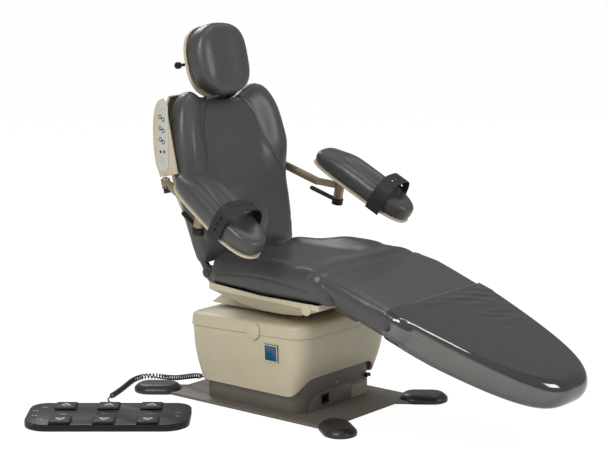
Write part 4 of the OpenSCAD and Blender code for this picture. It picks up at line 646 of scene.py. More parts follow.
def makeSeat():
    stations = crossStations(chair["seatHalf"], seat["edge"])
    piece = loft("seat_cushion_cover", [seatRing(x) for x in stations])
    puffUp(piece, seat["voxel"], seat["cap"])
    points = corners(piece)
    pivotY, pivotZ = chair["legPivot"][1:]
    radius = np.hypot(points[:, 1] - pivotY, points[:, 2] - pivotZ)
    limit = (partingRadius(points[:, 0]) - seat["partingGap"]
             - tuckBelow(np.arctan2(pivotY - points[:, 1], points[:, 2] - pivotZ)))
    shrink = np.where((points[:, 1] < pivotY) & (radius > limit), limit / radius, 1)[:, None]
    points[:, 1:] = [pivotY, pivotZ] + (points[:, 1:] - [pivotY, pivotZ]) * shrink
    # two hollows under the front end, where the leg section's frame arms rise
    ahead = np.maximum(0, pivotY - points[:, 1])
    out = np.abs(points[:, 0])
    arms = smoothStep(*seat["armFrom"], out) * (1 - smoothStep(*seat["armTo"], out))
    roof = pivotZ + seat["armRoof"] + seat["armSlope"] * ahead
    points[:, 2] += arms * (ahead > 0) * np.maximum(0, roof - points[:, 2])
    # the side gusset wrinkles where the bolster ends, and the seat dips a little where a sitter's weight has been
    m = seatMarks
    side = smoothStep(*m["gusset"], out)
    near = bump(points[:, 1], m["foldsAt"], m["foldsReach"]) * side * smoothStep(*m["gussetUp"], points[:, 2])
    fold = np.sin((points[:, 1] * 0.8 + points[:, 2] * 0.35) / m["foldPitch"]
                  + 2 * np.sin(points[:, 2] / m["foldWaver"]))
    points[:, 0] -= np.sign(points[:, 0]) * near * (m["foldIn"] + m["foldDepth"] * fold)
    worn = (bump(points[:, 0], 0, m["wornHalf"]) * bump(points[:, 1], m["wornAt"], m["wornReach"])
            * (points[:, 2] > m["wornAbove"]))
    points[:, 2] -= m["wornDepth"] * worn
    setCorners(piece, points)
    seams = []
    for s in (-1, 1):
        inner = [(s * (m["innerX"] - m["innerBow"] * math.sin(t * 3)), m["innerFront"] + m["innerLong"] * t)
                 for t in np.linspace(0, 1, 14)]
        seams.append([(x, y, float(seatTop(x, y))) for x, y in inner])
        seams.append([(s * m["sideX"], y, m["sideZ"] + m["sideBow"] * t) for y, t in
                      zip(np.linspace(*m["sideY"], 10), np.sin(np.linspace(0.3, 2.6, 10)))])
        seams.append([(s * m["frontX"], m["frontY"], z) for z in np.linspace(*m["frontZ"], 6)])
    pressSeams(piece, seams, m["seamDepth"], m["seamWidth"])
    dress(piece, materials["vinyl"], "seat", "upholstery", "seat_cushion")


# Leg section: in its own frame -Y runs to the toe and Z out of its top; the toe is a superellipse in plan
leg = {"edge": 0.026, "edgeLow": 0.052, "toeStart": 0.136, "toeShare": 1.27, "roundShare": 0.304,
       "rise": (0.02, 0.11), "rootGap": 0.1045, "rootClear": 0.0006, "voxel": 0.0085, "cap": 0.0016,
       "fill": 0.85, "counts": (34, 25, 22), "seamX": 0.2665, "seamZ": 0.052, "seamBow": 0.01,
       "seamY": (0.06, 0.2), "seamDepth": 0.0014, "seamWidth": 0.004}


def toeEnd(x):
    reach = np.minimum(1, np.abs(x) / chair["seatHalf"]) ** (1 / leg["roundShare"])
    return leg["toeStart"] + (chair["legLength"] - leg["toeStart"]) * (1 - reach) ** (1 / leg["toeShare"])


# Side view at x: top from the root to the toe, half circle round the toe, underside back to the root.
def legRing(x, grow=0.0, start=None, counts=leg["counts"]):
    dropTop = float(edgeDrop(x, chair["seatHalf"], leg["edge"]))
    dropLow = float(edgeDrop(x, chair["seatHalf"], leg["edgeLow"]))
    root = chair["legTop"] - dropTop + grow
    low = min(chair["legLow"] + dropLow, root - 0.008) - grow
    end0 = float(toeEnd(x)) + grow
    begin = 0.0 if start is None else start
    half = (root + chair["legCrown"] - low) / 2
    end = max(end0, begin + 2.2 * half)
    s = np.linspace(begin, end - half, counts[0])
    top = root + chair["legCrown"] * smoothStep(*leg["rise"], s)
    turn = np.linspace(np.pi / 2, -np.pi / 2, counts[1])[1:-1]
    toeS = end - half + half * np.cos(turn)
    toeZ = (top[-1] + low) / 2 + half * np.sin(turn)
    back = np.linspace(end - half, begin + (0.06 if start is None else 0), counts[2])
    ringS, ringZ = np.concatenate([s, toeS, back]), np.concatenate([top, toeZ, np.full(len(back), low)])
    if start is None:
        # the root end is hollow, concentric with the seat's round front
        knuckle = leg["rootGap"] - 0.9 * dropTop
        z = np.linspace(low + 0.004, max(low + 0.006, knuckle - 0.0005), 9)
        hollow = np.sqrt(np.maximum(0, knuckle**2 - z**2))
        ringS, ringZ = np.concatenate([ringS, hollow]), np.concatenate([ringZ, z])
    return np.stack([np.full(len(ringS), x), -ringS, ringZ], -1)


def makeLeg():
    stations = crossStations(chair["seatHalf"] - 0.0005, leg["edgeLow"], inner=24, outer=16)
    piece = loft("leg_cushion_cover", [legRing(x) for x in stations], legFrame)
    puffUp(piece, leg["voxel"], leg["cap"])
    # the root's thin lip lies on the seat's round front and turns with the leg section
    points = placed(corners(piece), np.linalg.inv(legFrame))
    radius = np.hypot(points[:, 1], points[:, 2])
    limit = partingRadius(points[:, 0]) + leg["rootClear"]
    points[:, 1:] *= np.where(radius < limit, limit / np.maximum(radius, 1e-6), 1)[:, None]
    setCorners(piece, placed(points, legFrame))
    seams = []
    for s in (-1, 1):
        side = [(s * leg["seamX"], -t, leg["seamZ"] + leg["seamBow"] * math.sin(t * 9))
                for t in np.linspace(*leg["seamY"], 8)]
        seams.append(placed(side, legFrame))
    pressSeams(piece, seams, leg["seamDepth"], leg["seamWidth"])
    dress(piece, materials["vinyl"], "leg_section", "upholstery", "leg_cushion")


# Clear cover over the foot end: the leg's own form grown by a film, from the top across, round the toe and sides
cover = {"start": 0.272, "grow": 0.0028, "thick": 0.0006, "half": 0.2674, "counts": (130, 41, 60), "under": 34,
         "wrinkle": 0.0007, "nearEdge": (0.004, 0.03), "fade": 0.07, "fromX": (-0.22, -0.05),
         "leftFrom": (0.0, 0.12), "leftTo": (0.15, 0.22), "leftStart": (0.01, 0.06), "leftAt": 0.40,
         "leftReach": 0.16}


def makeCover():
    stations = crossStations(chair["seatHalf"] - 0.0008, leg["edgeLow"], inner=60, outer=22)
    stations = stations[np.abs(stations) < cover["half"]]
    rings = np.array([legRing(x, cover["grow"], cover["start"], cover["counts"]) for x in stations])
    onTop, toeRows = cover["counts"][0], cover["counts"][1] - 2
    rings = rings[:, :onTop + toeRows + cover["under"]]
    # ripples run out from the cover's upper edge, deepest near it and on the sitter's left
    x, s = rings[:, :onTop, 0], -rings[:, :onTop, 1]
    past = s - cover["start"]
    middle = (smoothStep(*cover["nearEdge"], past) * np.exp(-past / cover["fade"])
              * smoothStep(*cover["fromX"], x))
    left = (smoothStep(*cover["leftFrom"], x) * (1 - smoothStep(*cover["leftTo"], x))
            * smoothStep(*cover["leftStart"], past) * np.exp(-((s - cover["leftAt"]) / cover["leftReach"]) ** 2))
    wave = (np.sin(s / 0.0085 + 3 * np.sin(x / 0.055) + 1.7 * np.sin(x / 0.021))
            + 0.6 * np.sin(s / 0.0051 - x / 0.013 + 2 * np.sin(s / 0.04)))
    rings[:, :onTop, 2] += cover["wrinkle"] * (middle + 0.9 * left) * (wave + 0.8)
    piece = loft("toe_cover_film", rings, legFrame, caps=False, closeColumns=False)
    film = piece.modifiers.new("film", "SOLIDIFY")
    film.thickness, film.offset = cover["thick"], 1
    bake(piece)
    dress(piece, materials["clearFilm"], "leg_section", "clear_cover", "toe_cover")


makeSeat()
makeLeg()
makeCover()
print("stage: seat and leg section")

# Back cushion, in the back's leaning frame: -Y out of its front, Z up it. Two round lobes, a notch between them
# at the top, a narrowing foot and a lumbar bulge
back = {"edge": 0.042, "rear": 0.026, "front": 0.034, "lobe": 0.031, "lobeFrom": 0.082, "lobeFull": 0.205,
        "lobeNarrow": 0.048, "lobeAt": 0.44, "lobeReach": 0.22, "lumbar": 0.016, "lumbarReach": 0.140,
        "low": 0.028, "lowHalf": 0.230, "notch": 0.561, "top": 0.600, "lobeTopAt": 0.163, "voxel": 0.0068,
        "cap": 0.005, "fill": 0.75, "lumbarAt": 0.168, "lumbarWide": 0.108, "lumbarTall": 0.105,
        "seamDepth": 0.0026, "seamWidth": 0.0046, "ovalDepth": 0.0030, "ovalWidth": 0.013,
        "seam": [(0.062, 0.572), (0.090, 0.548), (0.122, 0.500), (0.136, 0.450), (0.146, 0.395), (0.172, 0.345),
                 (0.205, 0.300)]}


def backRing(x, count=110):
    side = abs(x)
    drop = float(edgeDrop(x, chair["backHalf"], back["edge"]))
    reach = max(0.0, (side - back["lowHalf"]) / (chair["backHalf"] - back["lowHalf"]))
    low = back["low"] + 0.3 * reach ** 1.2 + drop / 4
    u = max(0.0, (side - back["lobeTopAt"]) / (chair["backHalf"] - back["lobeTopAt"]))
    if side < back["lobeTopAt"]:
        top = back["notch"] + (back["top"] - back["notch"]) * float(smoothStep(0.050, back["lobeTopAt"], side))
    else:
        top = back["top"] - 0.21 * (1 - math.sqrt(max(0, 1 - 0.98 * u * u)))
    top -= drop / 4
    a = np.linspace(0, 2 * np.pi, count, endpoint=False)
    z = (low + top) / 2 + (top - low) / 2 * power(np.cos(a), 0.6)
    inside = back["lobeFrom"] + back["lobeNarrow"] * bump(z, back["lobeAt"], back["lobeReach"])
    swell = smoothStep(0, 1, (side - inside) / (back["lobeFull"] - inside))
    front = (back["front"] + back["lobe"] * swell * smoothStep(0.25, 0.40, z)
             + back["lumbar"] * bump(np.hypot(x, z - back["lumbarAt"]), 0, back["lumbarReach"]) - drop)
    rear = -back["rear"] + 0.35 * drop
    depth = (front + rear) / 2 + (front - rear) / 2 * power(np.sin(a), 0.42)
    return np.stack([np.full(count, x), -depth, z], -1)


def makeBack():
    stations = crossStations(chair["backHalf"] - 0.0004, back["edge"], inner=40, outer=14)
    piece = loft("back_cushion_cover", [backRing(x) for x in stations], backFrame)
    puffUp(piece, back["voxel"], back["cap"])
    # the lobes' inner seams (x, up the back), then a wide soft line round the lumbar bulge
    seams = [throughPoints([(s * x, 0, t) for x, t in back["seam"]], 30) for s in (-1, 1)]
    pressSeams(piece, seams, back["seamDepth"], back["seamWidth"], over=backFrame)
    a = np.linspace(0, 2 * np.pi, 50)
    up = back["lumbarAt"] + back["lumbarTall"] * np.sin(a)
    oval = np.stack([back["lumbarWide"] * np.cos(a), 0 * a, up], -1)
    pressSeams(piece, [oval], back["ovalDepth"], back["ovalWidth"], over=backFrame)
    dress(piece, materials["vinyl"], "back", "upholstery", "back_cushion")


# The seam round the rim of the headrest and arm cushions
rimSeam = {"depth": 0.0012, "width": 0.0028}

# Headrest cushion: a rounded square with a groove down its middle between two ridges
head = {"half": 0.122, "halfUp": 0.121, "thick": 0.080, "edge": 0.036, "groove": 0.005, "grooveWide": 0.055,
        "ridgeDip": 0.003, "ridgeAt": 0.105, "ridgeWide": 0.03, "rimX": 0.1185, "rimBack": 0.012, "rimUp": 0.1175,
        "rimSquare": 0.77, "voxel": 0.0046, "cap": 0.0008, "fill": 0.8}


def headRing(x, count=80):
    drop = float(edgeDrop(x, head["half"], head["edge"]))
    reach = head["halfUp"] * max(0.05, 1 - (abs(x) / head["half"]) ** 2.6) ** (1 / 2.6) - drop / 6
    a = np.linspace(0, 2 * np.pi, count, endpoint=False)
    front = (head["thick"] / 2 - drop - head["groove"] * bump(x, 0, head["grooveWide"])
             - head["ridgeDip"] * bump(abs(x), head["ridgeAt"], head["ridgeWide"]))
    rear = -head["thick"] / 2 + 0.4 * drop
    depth = (front + rear) / 2 + (front - rear) / 2 * power(np.sin(a), 0.45)
    up = chair["headUp"] + reach * power(np.cos(a), 0.6)
    return np.stack([np.full(count, x), chair["headY"] - depth, up], -1)


def makeHead():
    stations = crossStations(head["half"] - 0.0004, head["edge"], inner=24, outer=14)
    piece = loft("head_cushion_cover", [headRing(x) for x in stations], backFrame)
    puffUp(piece, head["voxel"], head["cap"])
    a = np.linspace(0, 2 * np.pi, 60)
    rim = np.stack([head["rimX"] * power(np.cos(a), head["rimSquare"]),
                    np.full(60, chair["headY"] + head["rimBack"]),
                    chair["headUp"] + head["rimUp"] * power(np.sin(a), head["rimSquare"])], -1)
    pressSeams(piece, [placed(rim, backFrame)], **rimSeam)
    dress(piece, materials["vinyl"], "headrest", "upholstery", "head_cushion")


# Arm cushions, in the board's frame: Y to the rear end, Z out of the top. A trough between two side ridges that
# opens towards the front
board = {"width": 0.148, "length": 0.394, "middle": -0.087, "up": 0.0203, "height": 0.064, "trough": 0.038,
         "edge": 0.026, "rollAt": 0.040, "rimX": 0.0735, "rimY": 0.1955, "rimUp": 0.010, "voxel": 0.0042,
         "cap": 0.0006, "fill": 0.8}


def padRing(x, count=96):
    drop = float(edgeDrop(x, board["width"] / 2, board["edge"]))
    a = np.linspace(0, 2 * np.pi, count, endpoint=False)
    share = np.where(np.cos(a) > 0, 0.5, 0.8)
    inner = np.maximum(0.06, 1 - (2 * abs(x) / board["width"]) ** (2 / share)) ** (share / 2)
    y = board["middle"] + board["length"] / 2 * inner * power(np.cos(a), 0.7)
    fall = board["height"] - board["trough"]
    roll = float(smoothStep(0, board["rollAt"], abs(x)))
    opening = smoothStep(0.2, 0.46, (y - board["middle"]) / board["length"])
    f = power(np.sin(a), np.where(np.sin(a) > 0, 0.5, 0.16))
    top = (board["height"] - 0.9 * drop - fall * (1 - roll) * bump(y, board["middle"], board["length"] / 2)
           - 0.5 * fall * opening)
    return np.stack([np.full(count, x), y, board["up"] + 0.15 * drop * (1 - f) + top * (1 + f) / 2], -1)


def makePad(side):
    name = "left" if side > 0 else "right"
    place = sideFrame(side, boardFrame)
    stations = crossStations(board["width"] / 2 - 0.0003, board["edge"], inner=26, outer=12)
    piece = loft(f"arm_pad_{name}_cover", [padRing(x) for x in stations], place)
    puffUp(piece, board["voxel"], board["cap"])
    a = np.linspace(0, 2 * np.pi, 70)
    share = np.where(np.sin(a) > 0, 0.5, 0.8)
    rim = np.stack([board["rimX"] * power(np.cos(a), share),
                    board["middle"] + board["rimY"] * power(np.sin(a), share),
                    np.full(70, board["up"] + board["rimUp"])], -1)
    pressSeams(piece, [placed(rim, place)], **rimSeam)
    dress(piece, materials["vinyl"], "arm_board_" + name, "upholstery", "arm_pad_" + name)


# Rubber straps over the arm cushions: a band on a flattened half circle, with a row of round holes, and its feet
strap = {"left": -0.182, "right": -0.160, "width": 0.054, "thick": 0.003, "gap": 0.003, "rise": 0.126,
         "low": 0.0097, "square": 0.6, "hole": 0.0042, "holes": 9, "pitch": 0.021, "holesFrom": 0.10,
         "round": 0.0012, "punch": 0.006, "footIn": 0.058, "footHalf": 0.012}


def strapLine(grow, a):
    reach = board["width"] / 2 + strap["gap"] + grow
    return (reach * power(np.cos(a), strap["square"]),
            strap["low"] + (strap["rise"] + grow - strap["low"]) * np.abs(np.sin(a)) ** strap["square"])


def makeStrap(side):
    name = "left" if side > 0 else "right"
    place = sideFrame(side, boardFrame)
    at, half, skin = strap[name], strap["width"] / 2, strap["thick"]
    a = np.linspace(0.0, np.pi, 97)
    # the cross-section is a flat band with rounded long edges: eight points, (across the band, through it)
    flat = half - strap["round"]
    section = [(-half, 0.3), (-flat, 0.0), (flat, 0.0), (half, 0.3), (half, 0.7), (flat, 1.0), (-flat, 1.0),
               (-half, 0.7)]
    rings = np.zeros((len(a), len(section), 3))
    for k, (across, through) in enumerate(section):
        x, z = strapLine(skin * through, a)
        rings[:, k] = np.stack([x, np.full(len(a), at + across), z], -1)
    piece = loft("strap_band_" + name, rings)
    mid = np.stack(strapLine(skin / 2, a), -1)
    reached = np.concatenate([[0], np.cumsum(np.linalg.norm(np.diff(mid, axis=0), axis=1))])
    cutters = []
    for k in range(strap["holes"]):
        distance = reached[-1] * strap["holesFrom"] + k * strap["pitch"]
        here, ahead = (np.array([np.interp(d, reached, mid[:, j]) for j in (0, 1)])
                       for d in (distance, distance + 0.002))
        away = (ahead - here)[::-1] * [-1, 1]
        away *= strap["punch"] / np.linalg.norm(away)
        line = [(x, at, z) for x, z in (here - away, here, here + away)]
        cutters.append(tube(f"hole_{name}_{k}", line, strap["hole"], 20))
    punch = joined("punch_" + name, cutters)
    cut = piece.modifiers.new("holes", "BOOLEAN")
    cut.object, cut.operation, cut.solver = punch, "DIFFERENCE", "EXACT"
    bake(piece)
    bpy.data.objects.remove(punch)
    feet, long = [], strap["footHalf"]
    for s in (-1, 1):
        ends = sorted((s * strap["footIn"], s * (board["width"] / 2 + strap["gap"] + skin / 2)))
        outline = ((-long, 0), (long, 0), (long, skin), (-long, skin))
        rows = [[(x, at + y, strap["low"] + up) for y, up in outline] for x in ends]
        feet.append(loft(f"foot_{name}_{s}", rows, smooth=False))
    whole = joined("arm_strap_band_" + name, [piece] + feet)
    setCorners(whole, placed(corners(whole), place))
    outwards(whole)
    sharpenAt(whole, 35)
    dress(whole, materials["strapRubber"], "arm_board_" + name, "strap_rubber", "arm_strap_" + name)


makeBack()
makeHead()
for side in (-1, 1):
    makePad(side)
    makeStrap(side)
print("stage: back, headrest and arm cushions, straps")

# Lift shroud: rings of a square with round corners. The shoulder is (out from half, height) for each ring
shroud = {"half": 0.239, "front": 0.062, "rear": 0.046, "lowHalf": 0.216, "midHalf": 0.23578, "midZ": 0.185,
          "lowZ": 0.072, "bandZ": 0.262, "wall": 0.004, "frontRise": 0.054, "slopeShare": 0.034, "swell": 0.007,
          "deckR": 0.150, "deckHoleR": 0.120, "deckZ": 0.312,
          "shoulder": [(-0.0008, 0.262), (0.0012, 0.2628), (0.003, 0.265), (0.0028, 0.270), (0.0015, 0.292),
                       (0.0002, 0.297), (-0.0022, 0.3008), (-0.0065, 0.3040), (-0.012, 0.3058)],
          "peg": (-0.104, 0.139, 0),
          "pegProfile": [(0.008, 0.300), (0.008, 0.3155), (0.0074, 0.3166), (0.006, 0.317)],
          "partingX": 0.052, "partingY": -0.2468, "partingZ": (0.262, 0.300), "partingRadius": 0.0006}


# A turned form: rings of (radius, distance along) about an axis, first and second being its two side directions
def turned(name, middle, along, first, second, profile, sides):
    a = np.linspace(0, 2 * np.pi, sides, endpoint=False)[:, None]
    spoke = np.cos(a) * np.array(first, float) + np.sin(a) * np.array(second, float)
    return loft(name, [np.array(middle) + r * spoke + d * np.array(along, float) for r, d in profile])


# A square's outline with round corners, anticlockwise from the end of its right side
def roundSquare(half, front, rear, corner=20, side=12):
    points = []
    for quarter, (sx, sy, r) in enumerate([(1, 1, rear), (-1, 1, rear), (-1, -1, front), (1, -1, front)]):
        a = np.radians(90 * quarter + np.linspace(0, 90, corner))
        points.append(np.stack([sx * (half - r) + r * np.cos(a), sy * (half - r) + r * np.sin(a)], -1))
    sides = [np.linspace(points[q][-1], points[(q + 1) % 4][0], side + 2)[1:-1] for q in range(4)]
    return np.vstack([part for pair in zip(points, sides) for part in pair])


# One ring at that half width and height: rise lifts the front edge's middle, slope tips the ring to the rear
def shroudRing(half, z, rise, slope):
    p = roundSquare(half, shroud["front"], shroud["rear"])
    front = p[:, 1] < 0
    fromFront = np.degrees(np.arctan2(np.abs(p[:, 0]), -p[:, 1]))
    up = shroud["frontRise"] * np.where(front, smoothStep(0, 1, (52 - fromFront) / 18), 0)
    return np.stack([p[:, 0], p[:, 1] - front * slope * shroud["swell"],
                     z + rise * up - slope * shroud["slopeShare"] * p[:, 1]], -1)


def makeShroud():
    s = shroud
    wall = s["wall"]
    rings = []
    for u in np.linspace(0, 1, 9):
        half = s["lowHalf"] + (s["midHalf"] - s["lowHalf"]) * (u + 0.10 * math.sin(math.pi * u))
        rings.append(shroudRing(half, s["lowZ"] + (s["midZ"] - s["lowZ"]) * u, float(1 - u), 0))
    for u in (0.25, 0.5, 0.75, 0.985):
        half = s["midHalf"] + (s["half"] - s["midHalf"]) * u
        rings.append(shroudRing(half, s["midZ"] + (s["bandZ"] - s["midZ"]) * u, 0, u))
    rings += [shroudRing(s["half"] + out, z, 0, 1) for out, z in s["shoulder"]]
    p = roundSquare(s["half"], s["front"], s["rear"])
    p /= np.linalg.norm(p, axis=1, keepdims=True)
    for radius, below in ((s["deckR"], 0), (s["deckHoleR"] + 0.001, 0), (s["deckHoleR"], 0.001),
                          (s["deckHoleR"], wall), (s["deckR"], wall)):
        rings.append(np.column_stack([radius * p, np.full(len(p), s["deckZ"] - below)]))
    rings += [shroudRing(half - wall, z, rise, slope) for half, z, rise, slope in (
        (s["half"] - 0.012, 0.306 - wall, 0, 1), (s["half"], s["bandZ"], 0, 1), (s["midHalf"], s["midZ"], 0, 0),
        (s["lowHalf"], s["lowZ"], 1, 0))]
    skin = loft("shroud_skin", rings, caps=False, closeRows=True)
    peg = turned("stop_peg", s["peg"], (0, 0, 1), (1, 0, 0), (0, 1, 0), s["pegProfile"], 40)
    whole = joined("lift_shroud_cover", [skin, peg])
    sharpenAt(whole, 38)
    dress(whole, materials["creamAbs"], "lift", "cream_shell", "lift_shroud")
    # the moulding's parting line crosses the shoulder band in front
    line = [(s["partingX"], s["partingY"], z) for z in np.linspace(*s["partingZ"], 6)]
    dress(tube("seam_line", line, s["partingRadius"], 8), materials["darkGap"], "lift", "cream_shell")


makeShroud()


# Foot caps: a moulded stadium, bevelled below, domed above, over each leg's end
caps = {"length": 0.160, "width": 0.108, "turn": 53, "at": (0.232, 0.384),
        "layers": [(0.004, 0.0), (0.0012, 0.0012), (0.0, 0.004), (0.0, 0.0105), (0.0008, 0.0135),
                   (0.0028, 0.0165), (0.0065, 0.0205), (0.011, 0.0243), (0.0155, 0.0272), (0.020, 0.0289),
                   (0.026, 0.0292)]}


# Each layer is (in from the widest outline, height)
def makeFootCaps():
    reach = (caps["length"] - caps["width"]) / 2
    a = np.linspace(-np.pi / 2, np.pi / 2, 28)
    rings = []
    for inset, z in caps["layers"]:
        r = caps["width"] / 2 - inset
        right = np.stack([reach + r * np.cos(a), r * np.sin(a), np.full(28, z)], -1)
        rings.append(np.vstack([right, right * [-1, -1, 1]]))
    place = moveBy(*caps["at"], 0) @ turnAbout("z", caps["turn"])
    whole = joined("foot_cap_mouldings", [
        loft(f"cap_{sx}_{sy}", rings, np.diag([sx, sy, 1.0, 1.0]) @ place) for sx in (-1, 1) for sy in (-1, 1)])
    outwards(whole)
    sharpenAt(whole, 60)
    dress(whole, materials["footRubber"], "base", "black_rubber", "foot_caps")


makeFootCaps()

# Hard parts kept in the CAD's own form, with their edges rounded: node, material, edge width
hardParts = {
    "base": [("base_plate", "darkPowderCoat", 0.0016), ("lower_skirt", "darkPowderCoat", 0.0008),
             ("access_panel", "darkPowderCoat", 0.0007), ("power_inlet", "blackAbs", 0.0006),
             ("skirt_latch", "blackAbs", 0.0012), ("outer_column", "groundSteel", 0.0008),
             ("lift_motor", "motorEnamel", 0.002), ("lift_screw", "groundSteel", 0.0008),
             ("control_unit", "blackAbs", 0.002), ("cord_gland", "footRubber", 0.0008),
             ("foot_control_base", "blackAbs", 0.0014), ("foot_control_cover", "blackAbs", 0.0022)],
    "stage": [("mid_skirt", "darkPowderCoat", 0.0008), ("mid_column", "groundSteel", 0.0008)],
    "lift": [("side_caps", "creamAbs", 0.0012), ("badge_plate", "badgeBlue", 0.0005),
             ("inner_column", "groundSteel", 0.0008)],
    "turret": [("turntable", "frameEnamel", 0.0012), ("neck_cover", "creamAbs", 0.0014)],
    "seat": [("seat_frame", "frameEnamel", 0.0009), ("seat_pan", "creamAbs", 0.0016),
             ("tilt_actuator", "blackAbs", 0.001), ("back_gearmotor", "motorEnamel", 0.0015)],
    "leg_section": [("leg_frame", "frameEnamel", 0.0009)],
    "back": [("back_frame", "frameEnamel", 0.0009), ("back_shell", "creamAbs", 0.0016),
             ("control_pods", "creamAbs", 0.0014), ("keypad", "membrane", 0.0004),
             ("arm_pivot_caps", "blackAbs", 0.0012)],
    "head_slide": [("head_bar", "groundSteel", 0.0012)],
    "head_arm": [("head_link", "frameEnamel", 0.0009)],
    "headrest": [("head_shell", "creamAbs", 0.0016)],
    "head_lock": [("head_knob", "blackAbs", 0.0014)],
}
for name in ("left", "right"):
    hardParts["arm_" + name] = [("arm_bar_" + name, "bronzeLacquer", 0.0012)]
    hardParts["arm_lock_" + name] = [("arm_lever_" + name, "blackAbs", 0.0012)]
    hardParts["arm_post_" + name] = [("arm_stem_" + name, "chrome", 0.0012)]
    hardParts["arm_board_" + name] = [("arm_pan_" + name, "creamAbs", 0.0018)]
for what in ("lift", "back", "tilt"):
    for way in ("up", "down"):
        hardParts[f"pad_{what}_{way}"] = [(f"foot_pad_{what}_{way}", "blackAbs", 0.0012)]
slotOf = {"darkPowderCoat": "base_paint", "footRubber": "black_rubber", "blackAbs": "black_plastic",
          "groundSteel": "bright_steel", "chrome": "bright_steel", "motorEnamel": "motor_paint",
          "creamAbs": "cream_shell", "frameEnamel": "frame_steel", "bronzeLacquer": "bronze_paint",
          "badgeBlue": "badge_blue", "membrane": "keypad_film"}
for body, parts in hardParts.items():
    for node, material, width in parts:
        dress(softened(node, width), materials[material], body, slotOf[material], node)
print("stage: hard parts")


# Printed marks: thin plates that stand 0.2 mm above what they are printed on
printed = {"low": 0.00012, "high": 0.00042}


# An outline in (u, v), laid out at an origin with two directions in the row frame and lifted by that height
def laidOut(outline, origin, u, v, height):
    outline = np.asarray(outline, float)
    u, v = np.array(u, float), np.array(v, float)
    return np.array(origin) + outline[:, :1] * u + outline[:, 1:] * v + np.cross(u, v) * height


# A flat plate of that outline
def plateMark(name, outline, origin, u, v):
    rows = [laidOut(outline, origin, u, v, height) for height in (printed["low"], printed["high"])]
    return loft(name, rows, smooth=False)


# A closed band of the given width along an outline
def ringMark(name, outline, width, origin, u, v):
    outline = np.asarray(outline, float)
    middle = outline.mean(axis=0)
    reach = np.linalg.norm(outline - middle, axis=1, keepdims=True)
    inner = middle + (outline - middle) * (1 - width / reach)
    low, high = printed["low"], printed["high"]
    rows = [laidOut(line, origin, u, v, height)
            for line, height in ((inner, low), (outline, low), (outline, high), (inner, high))]
    return loft(name, rows, caps=False, closeRows=True, smooth=False)


def regular(centre, radius, sides, turn=0.0):
    a = np.linspace(0, 2 * np.pi, sides, endpoint=False) + turn
    return np.stack([centre[0] + radius * np.cos(a), centre[1] + radius * np.sin(a)], -1)


def bar(a, b, width):
    a, b = np.array(a, float), np.array(b, float)
    side = np.array([-(b - a)[1], (b - a)[0]]) / np.linalg.norm(b - a) * width / 2
    return [a - side, b - side, b + side, a + side]


# One object for each ink, from the marks printed with it
def printMarks(prefix, marks, body, slot):
    for colour, pieces in marks.items():
        whole = joined(f"{prefix}_{colour}", pieces)
        outwards(whole)
        dress(whole, materials["ink" + colour.capitalize()], body, slot)


def dressMark(mark, name, colour, body, slot):
    mark = joined(name, [mark])
    outwards(mark)
    dress(mark, materials["ink" + colour.capitalize()], body, slot)


# Keypad print: u runs to the sitter's feet, v upwards, from the keypad's middle
keypadMarks = {
    "middle": (-0.2838, 0.012, 0.463), "ringPairs": [(-0.006, 0.060), (-0.006, 0.023), (-0.006, -0.014)],
    "pair": [(-0.0056, 0.0034), (0.0084, -0.0042)], "ring": 0.0076, "ringWidth": 0.0031,
    "tie": [(-0.0006, 0.0010), (0.0036, -0.0016)], "tieWidth": 0.004, "sign": (-0.010, -0.051),
    "signRadius": 0.0052, "dot": (0.006, -0.050), "dotRadius": 0.0056, "lineWidth": 0.0007,
    "yellow": [(-0.004, 0.075, 0.0022), (0.012, 0.072, 0.0015), (0.004, 0.038, 0.0024), (0.004, -0.003, 0.0027)],
    "lines": [(-0.012, 0.088, 0.002, 0.090), (0.002, 0.090, 0.010, 0.087), (-0.012, 0.040, -0.004, 0.046),
              (-0.013, 0.002, -0.003, 0.010), (0.004, 0.045, 0.012, 0.050), (0.006, 0.072, -0.002, 0.079),
              (0.0, -0.066, 0.0, -0.090), (-0.014, -0.070, -0.006, -0.070), (0.005, -0.069, 0.013, -0.069),
              (-0.016, -0.079, 0.014, -0.079), (-0.013, -0.088, -0.006, -0.088), (0.004, -0.088, 0.013, -0.088)],
}


def makeKeypadPrint():
    plane = (placed([keypadMarks["middle"]], backFrame)[0], (0, -1, 0), (0, 0, 1))
    navy = []
    for x, y in keypadMarks["ringPairs"]:
        navy += [ringMark("ring", regular((x + dx, y + dy), keypadMarks["ring"], 8, math.pi / 8),
                          keypadMarks["ringWidth"], *plane) for dx, dy in keypadMarks["pair"]]
        ends = [(x + dx, y + dy) for dx, dy in keypadMarks["tie"]]
        navy.append(plateMark("tie", bar(*ends, keypadMarks["tieWidth"]), *plane))
    sign = regular(keypadMarks["sign"], keypadMarks["signRadius"], 7, 0.3)
    navy.append(plateMark("sign", sign, *plane))
    printMarks("keypad_print", {
        "navy": navy,
        "yellow": [plateMark("spot", regular((x, y), r, 12), *plane) for x, y, r in keypadMarks["yellow"]],
        "grey": [plateMark("line", bar(ends[:2], ends[2:], keypadMarks["lineWidth"]), *plane)
                 for ends in keypadMarks["lines"]],
        "red": [plateMark("dot", regular(keypadMarks["dot"], keypadMarks["dotRadius"], 24), *plane)],
    }, "back", "keypad_film")


makeKeypadPrint()

